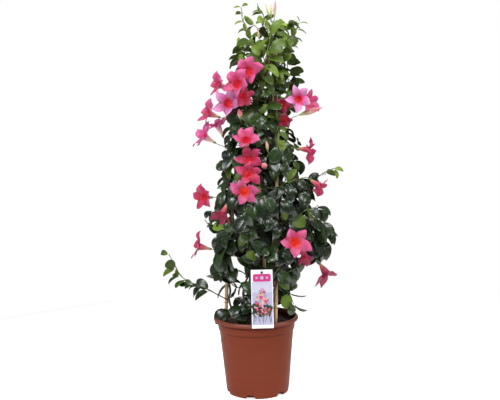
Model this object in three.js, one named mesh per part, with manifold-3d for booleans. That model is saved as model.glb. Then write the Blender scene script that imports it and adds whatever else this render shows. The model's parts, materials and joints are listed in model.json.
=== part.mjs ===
// A potted mandevilla: a flowering climber trained up three bamboo canes in a plastic nursery pot.
// Millimetres, +Z up. The origin is the middle of the pot's base, on the surface that the pot stands on;
// +X is to the right and -Y to the front, where the plant label hangs.
//
// The plant is built from the ground up: what is stiff and has a set place first (pot, canes, vines,
// label, flowers), and then whatever has to find room between them (stalks, shoots and leaves).
import * as THREE from "three";
import { mergeVertices } from "three/addons/utils/BufferGeometryUtils.js";
import Module from "manifold-3d";

const wasm = await Module();
wasm.setup();

// ---- Driving dimensions -------------------------------------------------------------------------
const GAP = 0.3; // clearance between pieces that touch
const POT = { height: 219, rim: 120, base: 87, floor: 3.5, sides: 30 };
const NOTCH = { count: 6, first: -14, height: 9.5, top: 19, foot: 32, depth: 34, reach: 20 };
const SOIL = { top: 198, bevel: 6 };
const CANE = { radius: 5, sides: 6, steps: 8 };
const TIE = { height: 930, radius: 1.6, sides: 4, steps: 20 };
const VINE = { radius: 2.6, sides: 4, twist: 10.5, pointsPerTurn: 8, root: 168 };
const SHOOT = { radius: 1.6, sides: 3, segment: 38 };
const STALK = { radius: 1.3, sides: 3, steps: 4 };
const LEAF = { length: 62, width: 0.76, fold: 3, apart: 0.8 };
const FLOWER = { tube: 46, throat: 9, neck: 2.4, dish: 9, flare: 6, notch: 0.44 };
const LABEL = { width: 59, height: 160, thickness: 0.8, hole: 3.4, holeDown: 8,
  lean: 3, top: [17, -118, 371] };
const STAKE = { radius: 1.9, sides: 4, steps: 20 };

// Canes, each by the points that it passes through, from its foot in the soil to its head.
const CANES = {
  cane_left: [[-86, 4, 110], [-85, 2, 245], [-71, 0, 427], [-41, -2, 620], [8, -5, 800], [59, -8, 968]],
  cane_front: [[48, -74, 110], [53, -84, 219], [64, -60, 559], [68, -26, 800], [71, -8, 984]],
  cane_back: [[12, 84, 110], [20, 84, 245], [38, 62, 500], [58, 28, 800], [66, 7, 976]],
};

// The stake stands in the soil behind the label, and its head hooks forward through the label's hole.
const STAKE_LINE = [
  [17, -94, 172], [17, -99, 205], [17, -110, 335], [17, -112, 352], [17, -114.6, 362], [17, -118.4, 365],
  [17, -124, 365.2],
];

// Vines, rooted in the soil. Three twine up a cane, from a height to a height, and end in a free tip.
const VINES = {
  vine_left: {
    cane: "cane_left", root: [-58, -20], from: 262, to: 890, angle: 320, turns: 3.5, steps: 54,
    tip: [[8, -14, 978], [-3, -20, 1019], [-18, -20, 1044], [-20, -20, 1066], [-22, -20, 1084]],
  },
  vine_front: {
    cane: "cane_front", root: [22, -66], from: 255, to: 915, angle: 147, turns: 3.25, steps: 54,
    tip: [[58, -24, 985], [46, -14, 1026], [41, -8, 1052], [34, -6, 1074]],
  },
  vine_back: {
    cane: "cane_back", root: [-6, 58], from: 260, to: 905, angle: 225, turns: 3.375, steps: 54,
    tip: [[92, 16, 962], [112, 14, 992], [128, 12, 1016], [138, 12, 1040]],
  },
  vine_middle: {
    root: [-24, -30], steps: 24,
    tip: [[-34, -30, 300], [2, -40, 376], [34, -32, 412], [46, 4, 480], [24, 16, 560], [4, -18, 640],
      [22, -38, 730], [39, -36, 820], [46, -40, 900], [28, -46, 968]],
  },
};

// Open flowers: [x, y, z of the mouth, azimuth, elevation, diameter]. Azimuth 0 faces the front and 90
// the right.
const FLOWERS = [
  [-9, -88, 908, -12, 14, 78], [-42, -108, 875, -26, 16, 82], [-98, -20, 874, -96, 14, 62],
  [-67, -70, 823, -20, 10, 76], [-16, -88, 836, 40, -25, 64], [-128, -12, 798, -88, 20, 68],
  [-142, 5, 735, -72, 30, 70], [-100, 27, 768, -58, 62, 58], [-18, -104, 728, -4, 26, 78],
  [-8, -102, 671, 4, 18, 70], [-10, -128, 633, 14, 2, 68], [-26, -142, 586, -6, -2, 84],
  [-143, -55, 565, -48, 4, 68], [-90, -84, 514, -38, -36, 60], [-167, -10, 424, -84, 14, 66],
  [111, -126, 445, 8, 10, 88], [137, -92, 392, 24, -58, 62], [204, -20, 332, 62, -54, 72],
  [166, -12, 687, 84, -6, 58], [192, -16, 580, 66, -34, 58], [130, -72, 830, 10, 8, 68],
  [163, -34, 822, 52, 14, 62], [87, -52, 812, 4, -4, 52], [88, -66, 770, -10, -22, 52],
];

// Buds, a node for each stalk: [foot, tip, widest radius] of every bud on it.
const BUDS = {
  buds_top: [
    [[56, -20, 1052], [46, -22, 1087], 4], [[60, -20, 1050], [60, -24, 1086], 4],
    [[68, -18, 1050], [72, -20, 1092], 4.6],
  ],
  bud_top_left: [[[25, -46, 990], [22, -48, 1030], 4.2]],
  bud_long_right: [[[128, -36, 784], [190, -42, 803], 6.5]],
  bud_rolled: [[[-30, -58, 778], [-34, -76, 806], 7]],
  buds_middle: [[[30, -80, 652], [32, -116, 651], 9], [[42, -78, 688], [38, -82, 718], 5]],
};
const BUD_STALK = 12; // how far below the first bud the others join its stalk

// Shoots that stand clear of the body of leaves: the vine and height that each leaves, and its points.
const LOOSE_SHOOTS = {
  shoot_trailing_left: {
    from: ["vine_left", 262], pairs: 8, size: 0.64, first: 0.28,
    points: [[-119, -6, 288], [-161, -8, 311], [-195, -6, 322], [-213, -4, 342], [-226, -4, 366],
      [-244, -4, 402]],
  },
  shoot_right: {
    from: ["vine_back", 545], pairs: 7, size: 0.66, first: 0.2,
    points: [[120, 12, 556], [160, 20, 586], [188, 20, 612], [208, 12, 624], [228, 4, 633]],
  },
  shoot_low_right: {
    from: ["vine_front", 300], pairs: 4, size: 0.74, first: 0.3,
    points: [[82, -72, 306], [96, -74, 288], [104, -74, 264]],
  },
  shoot_mid_right: {
    from: ["vine_front", 380], pairs: 9, size: 1, first: 0.25,
    points: [[112, -58, 400], [156, -40, 410], [184, -26, 440], [186, -22, 492]],
  },
  shoot_mid_left: {
    from: ["vine_left", 440], pairs: 6, size: 0.9, first: 0.3,
    points: [[-96, -20, 462], [-122, -26, 478], [-138, -30, 500]],
  },
};

// The body of leaves by height: where its middle is, how far it reaches, and how large its leaves are.
const MIDDLE_X = [[200, -6], [320, 0], [420, 44], [500, 44], [600, 29], [760, 26], [860, 44], [1040, 47]];
const REACH = [[200, 92], [300, 116], [370, 134], [430, 166], [500, 166], [600, 128], [700, 100], [780, 80],
  [860, 78], [950, 94], [1000, 86], [1050, 60]];
const LEAF_SIZE = [[250, 1.08], [550, 1], [800, 0.88], [1000, 0.78]];

// Side shoots run out from a vine and climb at the edge of the leaves. Each point of the route has its
// share of the climb, its share of the reach, and its drift round the plant.
const SIDE_SHOOTS = {
  count: 14, low: 222, high: 880, turn: 137.5, climb: 150, pairs: 7, first: 0.3,
  route: [[0.14, 0.52, 0], [0.32, 0.74, 6], [0.62, 0.8, 16], [1, 0.74, 26]],
};
// Laterals are short and straight, and belong to their vine.
const LATERALS = { low: 236, high: 1020, step: 48, apart: 44, turn: 137.5, start: 60, rise: 34, pairs: 2 };
const INNER_LEAVES = { low: 236, high: 930, step: 88, stagger: 17 };
const TIP_LEAVES = { low: 955, high: 1090, step: 22, size: 0.62, last: 0.36 };
const YOUNG = 0.78; // size of the last two pairs on a shoot

const FINISH = {
  pot: { color: 0x9c4a33, roughness: 0.55 },
  soil: { color: 0x2b1d15, roughness: 0.95 },
  cane: { color: 0xc9a77a, roughness: 0.6 },
  tie: { color: 0x5c4a2c, roughness: 0.8 },
  label: { color: 0xf4f0f2, roughness: 0.4 },
  stake: { color: 0x151515, roughness: 0.5 },
  vine: { color: 0x27461d, roughness: 0.4 },
  shoot: { color: 0x2f5a22, roughness: 0.4 },
  petal: { color: 0xe8417f, roughness: 0.55 },
  bud: { color: 0xdce0a0, roughness: 0.55 },
};

// ---- Numbers, directions and curves ----------------------------------------------------------------
const vector = (p) => new THREE.Vector3(...p);
const radians = THREE.MathUtils.degToRad;
const UP = new THREE.Vector3(0, 0, 1);
const Y_AXIS = new THREE.Vector3(0, 1, 0);
const smooth = (points) => new THREE.CatmullRomCurve3(points, false, "catmullrom", 0.5);

// A repeatable stream of numbers from 0 to 1.
function randomStream(seed) {
  let state = seed;
  return () => {
    state = (state + 0x6d2b79f5) >>> 0;
    let t = Math.imul(state ^ (state >>> 15), state | 1);
    t = (t ^ (t + Math.imul(t ^ (t >>> 7), t | 61))) >>> 0;
    return ((t ^ (t >>> 14)) >>> 0) / 2 ** 32;
  };
}

// The value at x on the straight lines between [x, value] pairs.
function along(table, x) {
  const next = table.findIndex(([at]) => at > x);
  if (next === 0) return table[0][1];
  if (next < 0) return table[table.length - 1][1];
  const [[x0, v0], [x1, v1]] = [table[next - 1], table[next]];
  return v0 + ((v1 - v0) * (x - x0)) / (x1 - x0);
}

// The point of a rising curve at a height, found by halving.
function atHeight(curve, z) {
  let [low, high] = [0, 1];
  for (let i = 0; i < 40; i++) {
    const middle = (low + high) / 2;
    if (curve.getPoint(middle).z < z) low = middle;
    else high = middle;
  }
  return curve.getPoint(low);
}

// The share of a curve's length at which it comes nearest to a point on it.
function lengthShare(curve, place) {
  const shares = Array.from({ length: 401 }, (_, i) => i / 400);
  const away = shares.map((share) => curve.getPointAt(share).distanceTo(place));
  return shares[away.indexOf(Math.min(...away))];
}

function facing(azimuth, elevation) {
  const [a, e] = [radians(azimuth), radians(elevation)];
  return new THREE.Vector3(Math.sin(a) * Math.cos(e), -Math.cos(a) * Math.cos(e), Math.sin(e));
}

// The level direction away from the plant's middle.
function outward(p) {
  const out = new THREE.Vector3(p.x - along(MIDDLE_X, p.z), p.y, 0);
  return out.lengthSq() < 1 ? facing(0, 0) : out.normalize();
}

// The place at a share of the leaves' reach, by azimuth and height.
function placeAt(azimuth, height, share) {
  const out = facing(azimuth, 0).multiplyScalar(along(REACH, height) * share);
  return out.add(new THREE.Vector3(along(MIDDLE_X, height), 0, height));
}

// ---- Solids -------------------------------------------------------------------------------------
function solidOf(corners, faces) {
  const vertProperties = new Float32Array(corners.flatMap((p) => p.toArray()));
  return new wasm.Manifold(new wasm.Mesh({ numProp: 3, vertProperties, triVerts: new Uint32Array(faces) }));
}

function toSolid(geometry) {
  const bare = geometry.index ? geometry.toNonIndexed() : geometry.clone();
  bare.deleteAttribute("normal");
  bare.deleteAttribute("uv");
  const merged = mergeVertices(bare);
  const triVerts = new Uint32Array(merged.index.array);
  return new wasm.Manifold(
    new wasm.Mesh({ numProp: 3, vertProperties: merged.attributes.position.array, triVerts }));
}

function toGeometry(solid) {
  const { vertProperties, triVerts } = solid.getMesh();
  const geometry = new THREE.BufferGeometry();
  geometry.setAttribute("position", new THREE.BufferAttribute(new Float32Array(vertProperties), 3));
  geometry.setIndex(new THREE.BufferAttribute(new Uint32Array(triVerts), 1));
  geometry.computeVertexNormals();
  return geometry;
}

function circle(radius, sides) {
  const corners = Array.from({ length: sides }, (_, i) => {
    const a = (2 * Math.PI * i) / sides;
    return new THREE.Vector2(radius * Math.cos(a), radius * Math.sin(a));
  });
  return new THREE.Shape(corners);
}

function tube(curve, { radius, sides }, steps, extra = 0) {
  const options = { extrudePath: curve, steps, bevelEnabled: false };
  return toSolid(new THREE.ExtrudeGeometry(circle(radius + extra, sides), options));
}

// The space of a tube that stands in the soil: wider by the clearance, and deeper by it at the foot.
function tubeSpace(curve, size, steps) {
  const [foot, ...rest] = curve.points;
  const lower = foot.clone().addScaledVector(curve.getTangent(0), -GAP);
  return tube(smooth([lower, ...rest]), size, steps, GAP);
}

function lathe(profile) {
  const points = profile.map(([radius, z]) => new THREE.Vector2(radius, z));
  return toSolid(new THREE.LatheGeometry(points, POT.sides).rotateX(Math.PI / 2));
}

const largest = (solid) => solid.decompose().sort((a, b) => b.volume() - a.volume())[0];

// ---- The nodes, and the space that each takes -----------------------------------------------------
const pottedPlant = new THREE.Group();
const taken = [];

function addNode(group, name, solid, finish) {
  const mesh = new THREE.Mesh(toGeometry(solid), new THREE.MeshStandardMaterial({ ...finish, metalness: 0 }));
  mesh.name = name;
  group.add(mesh);
}

function newGroup() {
  const group = new THREE.Group();
  pottedPlant.add(group);
  return group;
}

const take = (node, solid) => taken.push({ node, solid, box: solid.boundingBox() });

function meets(solid, { solid: other, box }) {
  const { min, max } = solid.boundingBox();
  if ([0, 1, 2].some((i) => min[i] > box.max[i] || max[i] < box.min[i])) return false;
  const common = solid.intersect(other);
  const apart = common.isEmpty();
  common.delete();
  return !apart;
}

// Whether a solid is clear of everything that stands, but for the nodes that it may meet.
const isClear = (solid, mayMeet) => taken.every((t) => mayMeet.includes(t.node) || !meets(solid, t));

// ---- Pot: a tapered wall with a collar and a rolled rim, and notches round its foot --------------------
const potGroup = newGroup();
const potSolid = lathe([
  [0, 0], [POT.base, 0], [89.5, 12], [105.6, 180], [108.6, 183], [110.8, 205.5], [117.5, 207],
  [POT.rim, 212.5], [115.5, POT.height], [110.4, 215.5], [106.5, 184.5], [103.6, 181.5], [85.2, POT.floor],
  [0, POT.floor],
]);

function notchSolid(index) {
  const block = new THREE.ExtrudeGeometry(new THREE.Shape([
    new THREE.Vector2(-NOTCH.foot / 2, -1), new THREE.Vector2(NOTCH.foot / 2, -1),
    new THREE.Vector2(NOTCH.top / 2, NOTCH.height), new THREE.Vector2(-NOTCH.top / 2, NOTCH.height),
  ]), { depth: NOTCH.depth, bevelEnabled: false, steps: 1 });
  block.rotateX(Math.PI / 2).translate(0, NOTCH.depth - POT.base - NOTCH.reach, 0);
  return toSolid(block.rotateZ(radians(NOTCH.first + (index * 360) / NOTCH.count)));
}

const notches = Array.from({ length: NOTCH.count }, (_, i) => notchSolid(i));
addNode(potGroup, "pot", notches.reduce((pot, notch) => pot.subtract(notch), potSolid), FINISH.pot);
take("pot", potSolid);

// ---- Canes, and the tie that holds their heads together --------------------------------------------
const canesGroup = newGroup();
const canes = {};
const caneSpaces = {};
for (const [name, points] of Object.entries(CANES)) {
  canes[name] = smooth(points.map(vector));
  caneSpaces[name] = tubeSpace(canes[name], CANE, CANE.steps);
  addNode(canesGroup, name, tube(canes[name], CANE, CANE.steps), FINISH.cane);
  take(name, caneSpaces[name]);
}

// The tie is a closed loop through three points round the far side of each cane.
const heads = Object.values(canes).map((cane) => atHeight(cane, TIE.height));
const headsMiddle = heads.reduce((sum, p) => sum.addScaledVector(p, 1 / heads.length), new THREE.Vector3());
const bearing = (p) => Math.atan2(p.y - headsMiddle.y, p.x - headsMiddle.x);
const loop = heads.flatMap((p) => [-40, 0, 40].map((turn) => {
  const out = p.clone().sub(headsMiddle).setZ(0).normalize().applyAxisAngle(UP, radians(turn));
  return p.clone().addScaledVector(out, CANE.radius + TIE.radius + 3 * GAP);
}));
loop.sort((a, b) => bearing(a) - bearing(b));
const tieCurve = new THREE.CatmullRomCurve3(loop, true, "catmullrom", 0.5);
const tieSolid = (extra) => toSolid(
  new THREE.TubeGeometry(tieCurve, TIE.steps, TIE.radius + extra, TIE.sides, true));
addNode(canesGroup, "cane_tie", tieSolid(0), FINISH.tie);

// ---- Vines ---------------------------------------------------------------------------------------
function vineCurve({ cane, root, from, to, angle, turns, tip }) {
  const points = [new THREE.Vector3(...root, VINE.root), new THREE.Vector3(...root, SOIL.top + 14)];
  const count = cane ? turns * VINE.pointsPerTurn : -1;
  for (let i = 0; i <= count; i++) {
    const round = facing(angle + 90 + (360 * i) / VINE.pointsPerTurn, 0).multiplyScalar(VINE.twist);
    points.push(atHeight(canes[cane], from + ((to - from) * i) / count).add(round));
  }
  return smooth([...points, ...tip.map(vector)]);
}

const vineNames = Object.keys(VINES);
const vineCurves = {};
const vineStems = {};
const vineSpaces = {};
for (const [name, vine] of Object.entries(VINES)) {
  vineCurves[name] = vineCurve(vine);
  vineStems[name] = tube(vineCurves[name], VINE, vine.steps);
  vineSpaces[name] = tubeSpace(vineCurves[name], VINE, vine.steps);
  take(name, vineSpaces[name]);
}

// ---- Soil, with holes for all that stands in it -----------------------------------------------------
const stakeCurve = smooth(STAKE_LINE.map(vector));
const stakeSpace = tubeSpace(stakeCurve, STAKE, STAKE.steps);
const soilSolid = lathe([
  [0, POT.floor + GAP], [84.9, POT.floor + GAP], [103, 179], [103.2, SOIL.top - SOIL.bevel],
  [103 - SOIL.bevel, SOIL.top], [0, SOIL.top],
]);
const inSoil = [...Object.values(caneSpaces), ...Object.values(vineSpaces), stakeSpace];
addNode(potGroup, "soil", inSoil.reduce((soil, hole) => soil.subtract(hole), soilSolid), FINISH.soil);
take("soil", soilSolid);
take("cane_tie", tieSolid(GAP));

// ---- Label on its hooked stake, in front of the rim --------------------------------------------------
const labelGroup = newGroup();
labelGroup.position.set(...LABEL.top);
labelGroup.rotation.x = Math.PI / 2 - radians(LABEL.lean);
labelGroup.updateMatrixWorld();

// The card in its own frame: X across, Y up to its top edge, Z out of its face.
function labelSolid(extra) {
  const half = LABEL.width / 2 + extra;
  const outline = new THREE.Shape([
    new THREE.Vector2(-half, -LABEL.height - extra), new THREE.Vector2(half, -LABEL.height - extra),
    new THREE.Vector2(half, extra), new THREE.Vector2(-half, extra),
  ]);
  outline.holes.push(new THREE.Path().absarc(0, -LABEL.holeDown, LABEL.hole - extra, 0, 2 * Math.PI));
  const depth = LABEL.thickness + 2 * extra;
  const card = new THREE.ExtrudeGeometry(outline, { depth, bevelEnabled: false, steps: 1, curveSegments: 5 });
  return toSolid(card.translate(0, 0, -depth / 2));
}

addNode(labelGroup, "label_card", labelSolid(0), FINISH.label);
take("label_card", labelSolid(GAP).transform(labelGroup.matrixWorld.elements));
const stakeGroup = newGroup();
addNode(stakeGroup, "label_stake", tube(stakeCurve, STAKE, STAKE.steps), FINISH.stake);
take("label_stake", stakeSpace);

// ---- Flowers and buds -----------------------------------------------------------------------------
// A flower opens from its foot through a narrow tube and a throat to a five-pointed mouth.
function flowerSolid({ mouth, face, diameter }, extra) {
  const ring = (count, radiusOf, depth) => Array.from({ length: count }, (_, i) => {
    const a = (2 * Math.PI * i) / count;
    return [radiusOf(i) * Math.cos(a), radiusOf(i) * Math.sin(a), depth];
  });
  const lip = (i) => (i % 2 ? FLOWER.notch : 1) * (diameter / 2) + extra;
  const foot = -FLOWER.tube - extra;
  const corners = [
    [0, 0, extra - FLOWER.dish], ...ring(10, lip, extra),
    ...ring(5, () => FLOWER.throat + extra, -FLOWER.dish - FLOWER.flare),
    ...ring(5, () => FLOWER.neck + extra, foot), [0, 0, foot],
  ];
  const [centre, firstLip, firstThroat, firstNeck, footCentre] = [0, 1, 11, 16, 21];
  const faces = [];
  for (let i = 0; i < 10; i++) faces.push(centre, firstLip + i, firstLip + ((i + 1) % 10));
  for (let i = 0; i < 5; i++) {
    const after = (i + 1) % 5;
    const [petal, notch, nextPetal] = [firstLip + 2 * i, firstLip + 2 * i + 1, firstLip + 2 * after];
    const [throat, nextThroat] = [firstThroat + i, firstThroat + after];
    const [neck, nextNeck] = [firstNeck + i, firstNeck + after];
    faces.push(petal, throat, notch, notch, throat, nextThroat, notch, nextThroat, nextPetal);
    faces.push(throat, neck, nextThroat, nextThroat, neck, nextNeck, neck, footCentre, nextNeck);
  }
  const turn = new THREE.Quaternion().setFromUnitVectors(UP, face);
  return solidOf(corners.map((p) => vector(p).applyQuaternion(turn).add(mouth)), faces);
}

// A bud is a spindle from its foot to its tip.
function budSolid([foot, tip, radius], extra) {
  const length = tip.clone().sub(foot);
  const spindle = new THREE.SphereGeometry(1, 5, 4).scale(radius + extra, length.length() / 2 + extra,
    radius + extra);
  spindle.applyQuaternion(new THREE.Quaternion().setFromUnitVectors(Y_AXIS, length.clone().normalize()));
  const middle = foot.clone().addScaledVector(length, 0.5);
  return toSolid(spindle.translate(middle.x, middle.y, middle.z));
}

// The ways that a stalk may take from the vines to a foot, nearest vine first. It leaves the foot
// straight, along back.
function* stalkLines(foot, back) {
  const places = vineNames.flatMap((vine) => {
    return Array.from({ length: 59 }, (_, i) => ({ vine, start: atHeight(vineCurves[vine], 250 + 12 * i) }));
  });
  const cost = ({ start }) => start.distanceTo(foot) + 2 * Math.max(0, start.z - foot.z + 18);
  for (const { vine, start } of places.sort((a, b) => cost(a) - cost(b)).slice(0, 60)) {
    for (const [bow, sag] of [[-8, 6], [10, 11], [-8, 16], [10, 21]]) {
      const middle = foot.clone().addScaledVector(back, 14).lerp(start, 0.5);
      middle.addScaledVector(outward(foot), bow).z -= sag;
      const last = [12, -2].map((away) => foot.clone().addScaledVector(back, away));
      yield { vine, line: smooth([start, middle, ...last]) };
    }
  }
}

// The first stalk that is clear all the way, cut back to the skin of its vine.
function stalkFor(name, foot, back) {
  for (const { vine, line } of stalkLines(foot, back)) {
    const space = tube(line, STALK, STALK.steps, GAP);
    if (!isClear(space, [name, vine])) continue;
    const whole = tube(line, STALK, STALK.steps);
    const stalk = largest(whole.subtract(vineSpaces[vine]));
    const { min, max } = stalk.boundingBox();
    const reachesFoot = min[2] < foot.z + 4 && max[2] > foot.z - 4;
    if (!reachesFoot || stalk.volume() < 0.6 * whole.volume()) continue;
    take(name, space);
    return stalk;
  }
  throw new Error(name + " finds no clear way to a vine");
}

const flowers = FLOWERS.map(([x, y, z, azimuth, elevation, diameter], i) => {
  const name = "flower_" + String(i + 1).padStart(2, "0");
  return { name, mouth: new THREE.Vector3(x, y, z), face: facing(azimuth, elevation), diameter };
});
const buds = Object.entries(BUDS).map(([name, list]) => {
  return { name, list: list.map(([foot, tip, radius]) => [vector(foot), vector(tip), radius]) };
});
for (const flower of flowers) take(flower.name, flowerSolid(flower, GAP));
for (const { name, list } of buds) list.forEach((bud) => take(name, budSolid(bud, GAP)));

const flowersGroup = newGroup();
for (const flower of flowers) {
  const foot = flower.mouth.clone().addScaledVector(flower.face, -FLOWER.tube);
  const stalk = stalkFor(flower.name, foot, flower.face.clone().negate());
  addNode(flowersGroup, flower.name, flowerSolid(flower, 0).add(stalk), FINISH.petal);
}

for (const { name, list } of buds) {
  const backs = list.map(([foot, tip]) => foot.clone().sub(tip).normalize());
  const fork = list[0][0].clone().addScaledVector(backs[0], BUD_STALK);
  let cluster = budSolid(list[0], 0).add(stalkFor(name, list[0][0], backs[0]));
  for (let i = 1; i < list.length; i++) {
    const last = [6, -3].map((away) => list[i][0].clone().addScaledVector(backs[i], away));
    const branch = smooth([fork, ...last]);
    take(name, tube(branch, STALK, STALK.steps - 1, GAP));
    cluster = cluster.add(tube(branch, STALK, STALK.steps - 1)).add(budSolid(list[i], 0));
  }
  addNode(flowersGroup, name, cluster, FINISH.bud);
}

// ---- Leaves ----------------------------------------------------------------------------------------
// A leaf in its plainest form: a keel from base to tip, and two corners raised where it is widest.
const LEAF_FACES = [0, 1, 2, 0, 3, 1, 0, 2, 3, 1, 3, 2];

function leafSolid({ base, way, face, length }, extra = 0) {
  const side = new THREE.Vector3().crossVectors(way, face).multiplyScalar((length * LEAF.width + extra) / 2);
  const widest = base.clone().addScaledVector(way, length / 2).addScaledVector(face, LEAF.fold + extra / 2);
  const corners = [base.clone(), base.clone().addScaledVector(way, length + extra)];
  corners.forEach((corner) => corner.addScaledVector(face, -extra / 2));
  return solidOf([...corners, widest.clone().add(side), widest.clone().sub(side)], LEAF_FACES);
}

// The outer part of a leaf, past its stalk.
function bladeOf(leaf) {
  const base = leaf.base.clone().addScaledVector(leaf.way, 0.28 * leaf.length);
  return { ...leaf, base, length: 0.72 * leaf.length };
}

// The ways that a leaf may sit, tried until one has room: a twist about its stem, and a share of size.
const LEAF_SEATS = [[0, 1], [0.45, 1], [-0.45, 1], [0.2, 0.8], [0.9, 0.85], [-0.9, 0.85], [0, 0.6]];

// A pair of leaves at a share of a stem's length, one on each side. Each leaf is a list of its seats.
function leafPair({ line, steps }, share, size, turn, random) {
  const segment = Math.min(Math.floor(share * steps), steps - 1);
  const [from, to] = [segment, segment + 1].map((i) => line.getPointAt(i / steps));
  const tangent = to.clone().sub(from).normalize();
  const base = from.lerp(to, THREE.MathUtils.clamp(share * steps - segment, 0.12, 0.9));
  const out = outward(base);
  const side = new THREE.Vector3().crossVectors(tangent, out);
  if (side.lengthSq() < 0.04) side.set(1, 0, 0);
  side.normalize().applyAxisAngle(tangent, turn);
  return [1, -1].map((sign) => {
    const [spread, forward, droop, tilt, growth] = Array.from({ length: 5 }, random);
    return LEAF_SEATS.map(([twist, shareOfSize]) => {
      const way = side.clone().multiplyScalar(0.85 * sign).addScaledVector(out, 0.3 + 0.35 * spread)
        .addScaledVector(tangent, 0.3 + 0.2 * forward).addScaledVector(UP, -0.15 - 0.5 * droop)
        .normalize().applyAxisAngle(tangent, twist);
      const face = out.clone().multiplyScalar(0.75).addScaledVector(UP, 0.35 + 0.4 * tilt)
        .addScaledVector(side, sign * (0.5 * growth - 0.15));
      face.addScaledVector(way, -face.dot(way)).normalize();
      return { base, way, face, length: LEAF.length * size * shareOfSize * (0.85 + 0.3 * growth) };
    });
  });
}

// Joins a leaf to its node in the first seat that has room. A leaf crosses its own node's stems only
// near its base.
function withLeaf(name, solid, seats) {
  const others = taken.map(({ node }) => node).filter((node) => node !== name);
  const hasRoom = (seat) => isClear(leafSolid(seat), [name]) && isClear(leafSolid(bladeOf(seat)), others);
  const leaf = seats.find(hasRoom);
  if (!leaf) return solid;
  take(name, leafSolid(leaf, LEAF.apart));
  return solid.add(leafSolid(leaf));
}

function withLeafPairs(name, solid, shoot, seed) {
  const { line, pairs, first, size } = shoot;
  const random = randomStream(seed);
  let leafy = solid;
  for (let i = 0; i < pairs; i++) {
    const share = first + ((1 - first) * i) / (pairs - 1);
    const age = i >= pairs - 2 ? YOUNG : 1;
    const sizeHere = size * age * along(LEAF_SIZE, line.getPoint(1).z);
    const pair = leafPair(shoot, share, sizeHere, i % 2 ? 0.5 : -0.5, random);
    for (const seats of pair) leafy = withLeaf(name, leafy, seats);
  }
  return leafy;
}

// ---- Shoots ----------------------------------------------------------------------------------------
// All stems find their way before any leaf takes a place. A shoot that something stands in the way of
// slides its foot along the vine, tries another vine, and then swings round the plant.
const shoots = [];
const SLIDES = [0, 14, -14, 28, -28, 42, -42, 56, -56, 70, -70];
const SWINGS = [0, 20, -20, 40, -40, 60];

function takeFirstClear(name, ways, leaves) {
  for (const { vine, line } of ways) {
    const steps = Math.max(3, Math.round(line.getLength() / SHOOT.segment));
    const space = tube(line, SHOOT, steps, GAP);
    if (!isClear(space, [vine])) continue;
    take(name ?? vine, space);
    shoots.push({ name, vine, line, steps, ...leaves });
    return;
  }
}

function* waysOut(azimuth, z, pathTo) {
  for (const swing of SWINGS) {
    const path = pathTo(azimuth + swing);
    const away = (vine) => atHeight(vineCurves[vine], z).distanceTo(path[0]);
    for (const vine of [...vineNames].sort((a, b) => away(a) - away(b)).slice(0, 3)) {
      for (const slide of SLIDES) {
        yield { vine, line: smooth([atHeight(vineCurves[vine], z + slide), ...path]) };
      }
    }
  }
}

for (const [name, { from: [vine, z], points, ...leaves }] of Object.entries(LOOSE_SHOOTS)) {
  const ways = SLIDES.map((slide) => {
    return { vine, line: smooth([atHeight(vineCurves[vine], z + slide), ...points.map(vector)]) };
  });
  takeFirstClear(name, ways, leaves);
}

for (let i = 0; i < SIDE_SHOOTS.count; i++) {
  const { low, high, count, turn, climb, route, pairs, first } = SIDE_SHOOTS;
  const z = low + ((high - low) * i) / (count - 1);
  const pathTo = (azimuth) => route.map(
    ([rise, share, drift]) => placeAt(azimuth + drift, z + climb * rise, share));
  const name = "side_shoot_" + String(i + 1).padStart(2, "0");
  takeFirstClear(name, waysOut(turn * i, z, pathTo), { pairs, first, size: 1 });
}

let laterals = 0;
for (let z = LATERALS.low; z < LATERALS.high; z += LATERALS.step) {
  for (let i = 0; i < along(REACH, z) / LATERALS.apart; i++) {
    laterals++;
    const share = 0.62 + 0.12 * (laterals % 3);
    const pathTo = (azimuth) => [
      placeAt(azimuth, z + LATERALS.rise / 2, 0.6 * share), placeAt(azimuth, z + LATERALS.rise, share),
    ];
    const azimuth = LATERALS.start + LATERALS.turn * laterals;
    takeFirstClear(null, waysOut(azimuth, z, pathTo), { pairs: LATERALS.pairs, first: 0.5, size: 1 });
  }
}

// ---- Leafy nodes: the shoots, and then the vines with their laterals ------------------------------------
const vinesGroup = newGroup();
const vineSolids = { ...vineStems };
shoots.forEach((shoot, i) => {
  const { name, vine, line, steps } = shoot;
  const stem = tube(line, SHOOT, steps);
  if (name) {
    const seated = largest(stem.subtract(vineSpaces[vine]));
    addNode(vinesGroup, name, withLeafPairs(name, seated, shoot, i + 1), FINISH.shoot);
  } else {
    vineSolids[vine] = withLeafPairs(vine, vineSolids[vine].add(stem), shoot, i + 1);
  }
});

vineNames.forEach((name, order) => {
  const line = vineCurves[name];
  const { steps } = VINES[name];
  const places = [];
  const { low, high, step, stagger } = INNER_LEAVES;
  for (let z = low + stagger * order; z < high; z += step) places.push([z, along(LEAF_SIZE, z)]);
  const top = line.getPoint(1).z;
  const tipSize = [[TIP_LEAVES.low, TIP_LEAVES.size], [TIP_LEAVES.high, TIP_LEAVES.last]];
  for (let z = TIP_LEAVES.low; z < top; z += TIP_LEAVES.step) places.push([z, along(tipSize, z)]);
  places.push([top, TIP_LEAVES.last]);
  const random = randomStream(shoots.length + order + 1);
  let leafy = vineSolids[name];
  for (const [z, size] of places) {
    const share = lengthShare(line, atHeight(line, z));
    const pair = leafPair({ line, steps }, share, size, 2 * Math.PI * random(), random);
    for (const seats of pair) leafy = withLeaf(name, leafy, seats);
  }
  addNode(vinesGroup, name, leafy, FINISH.vine);
});

export default pottedPlant;
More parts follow.
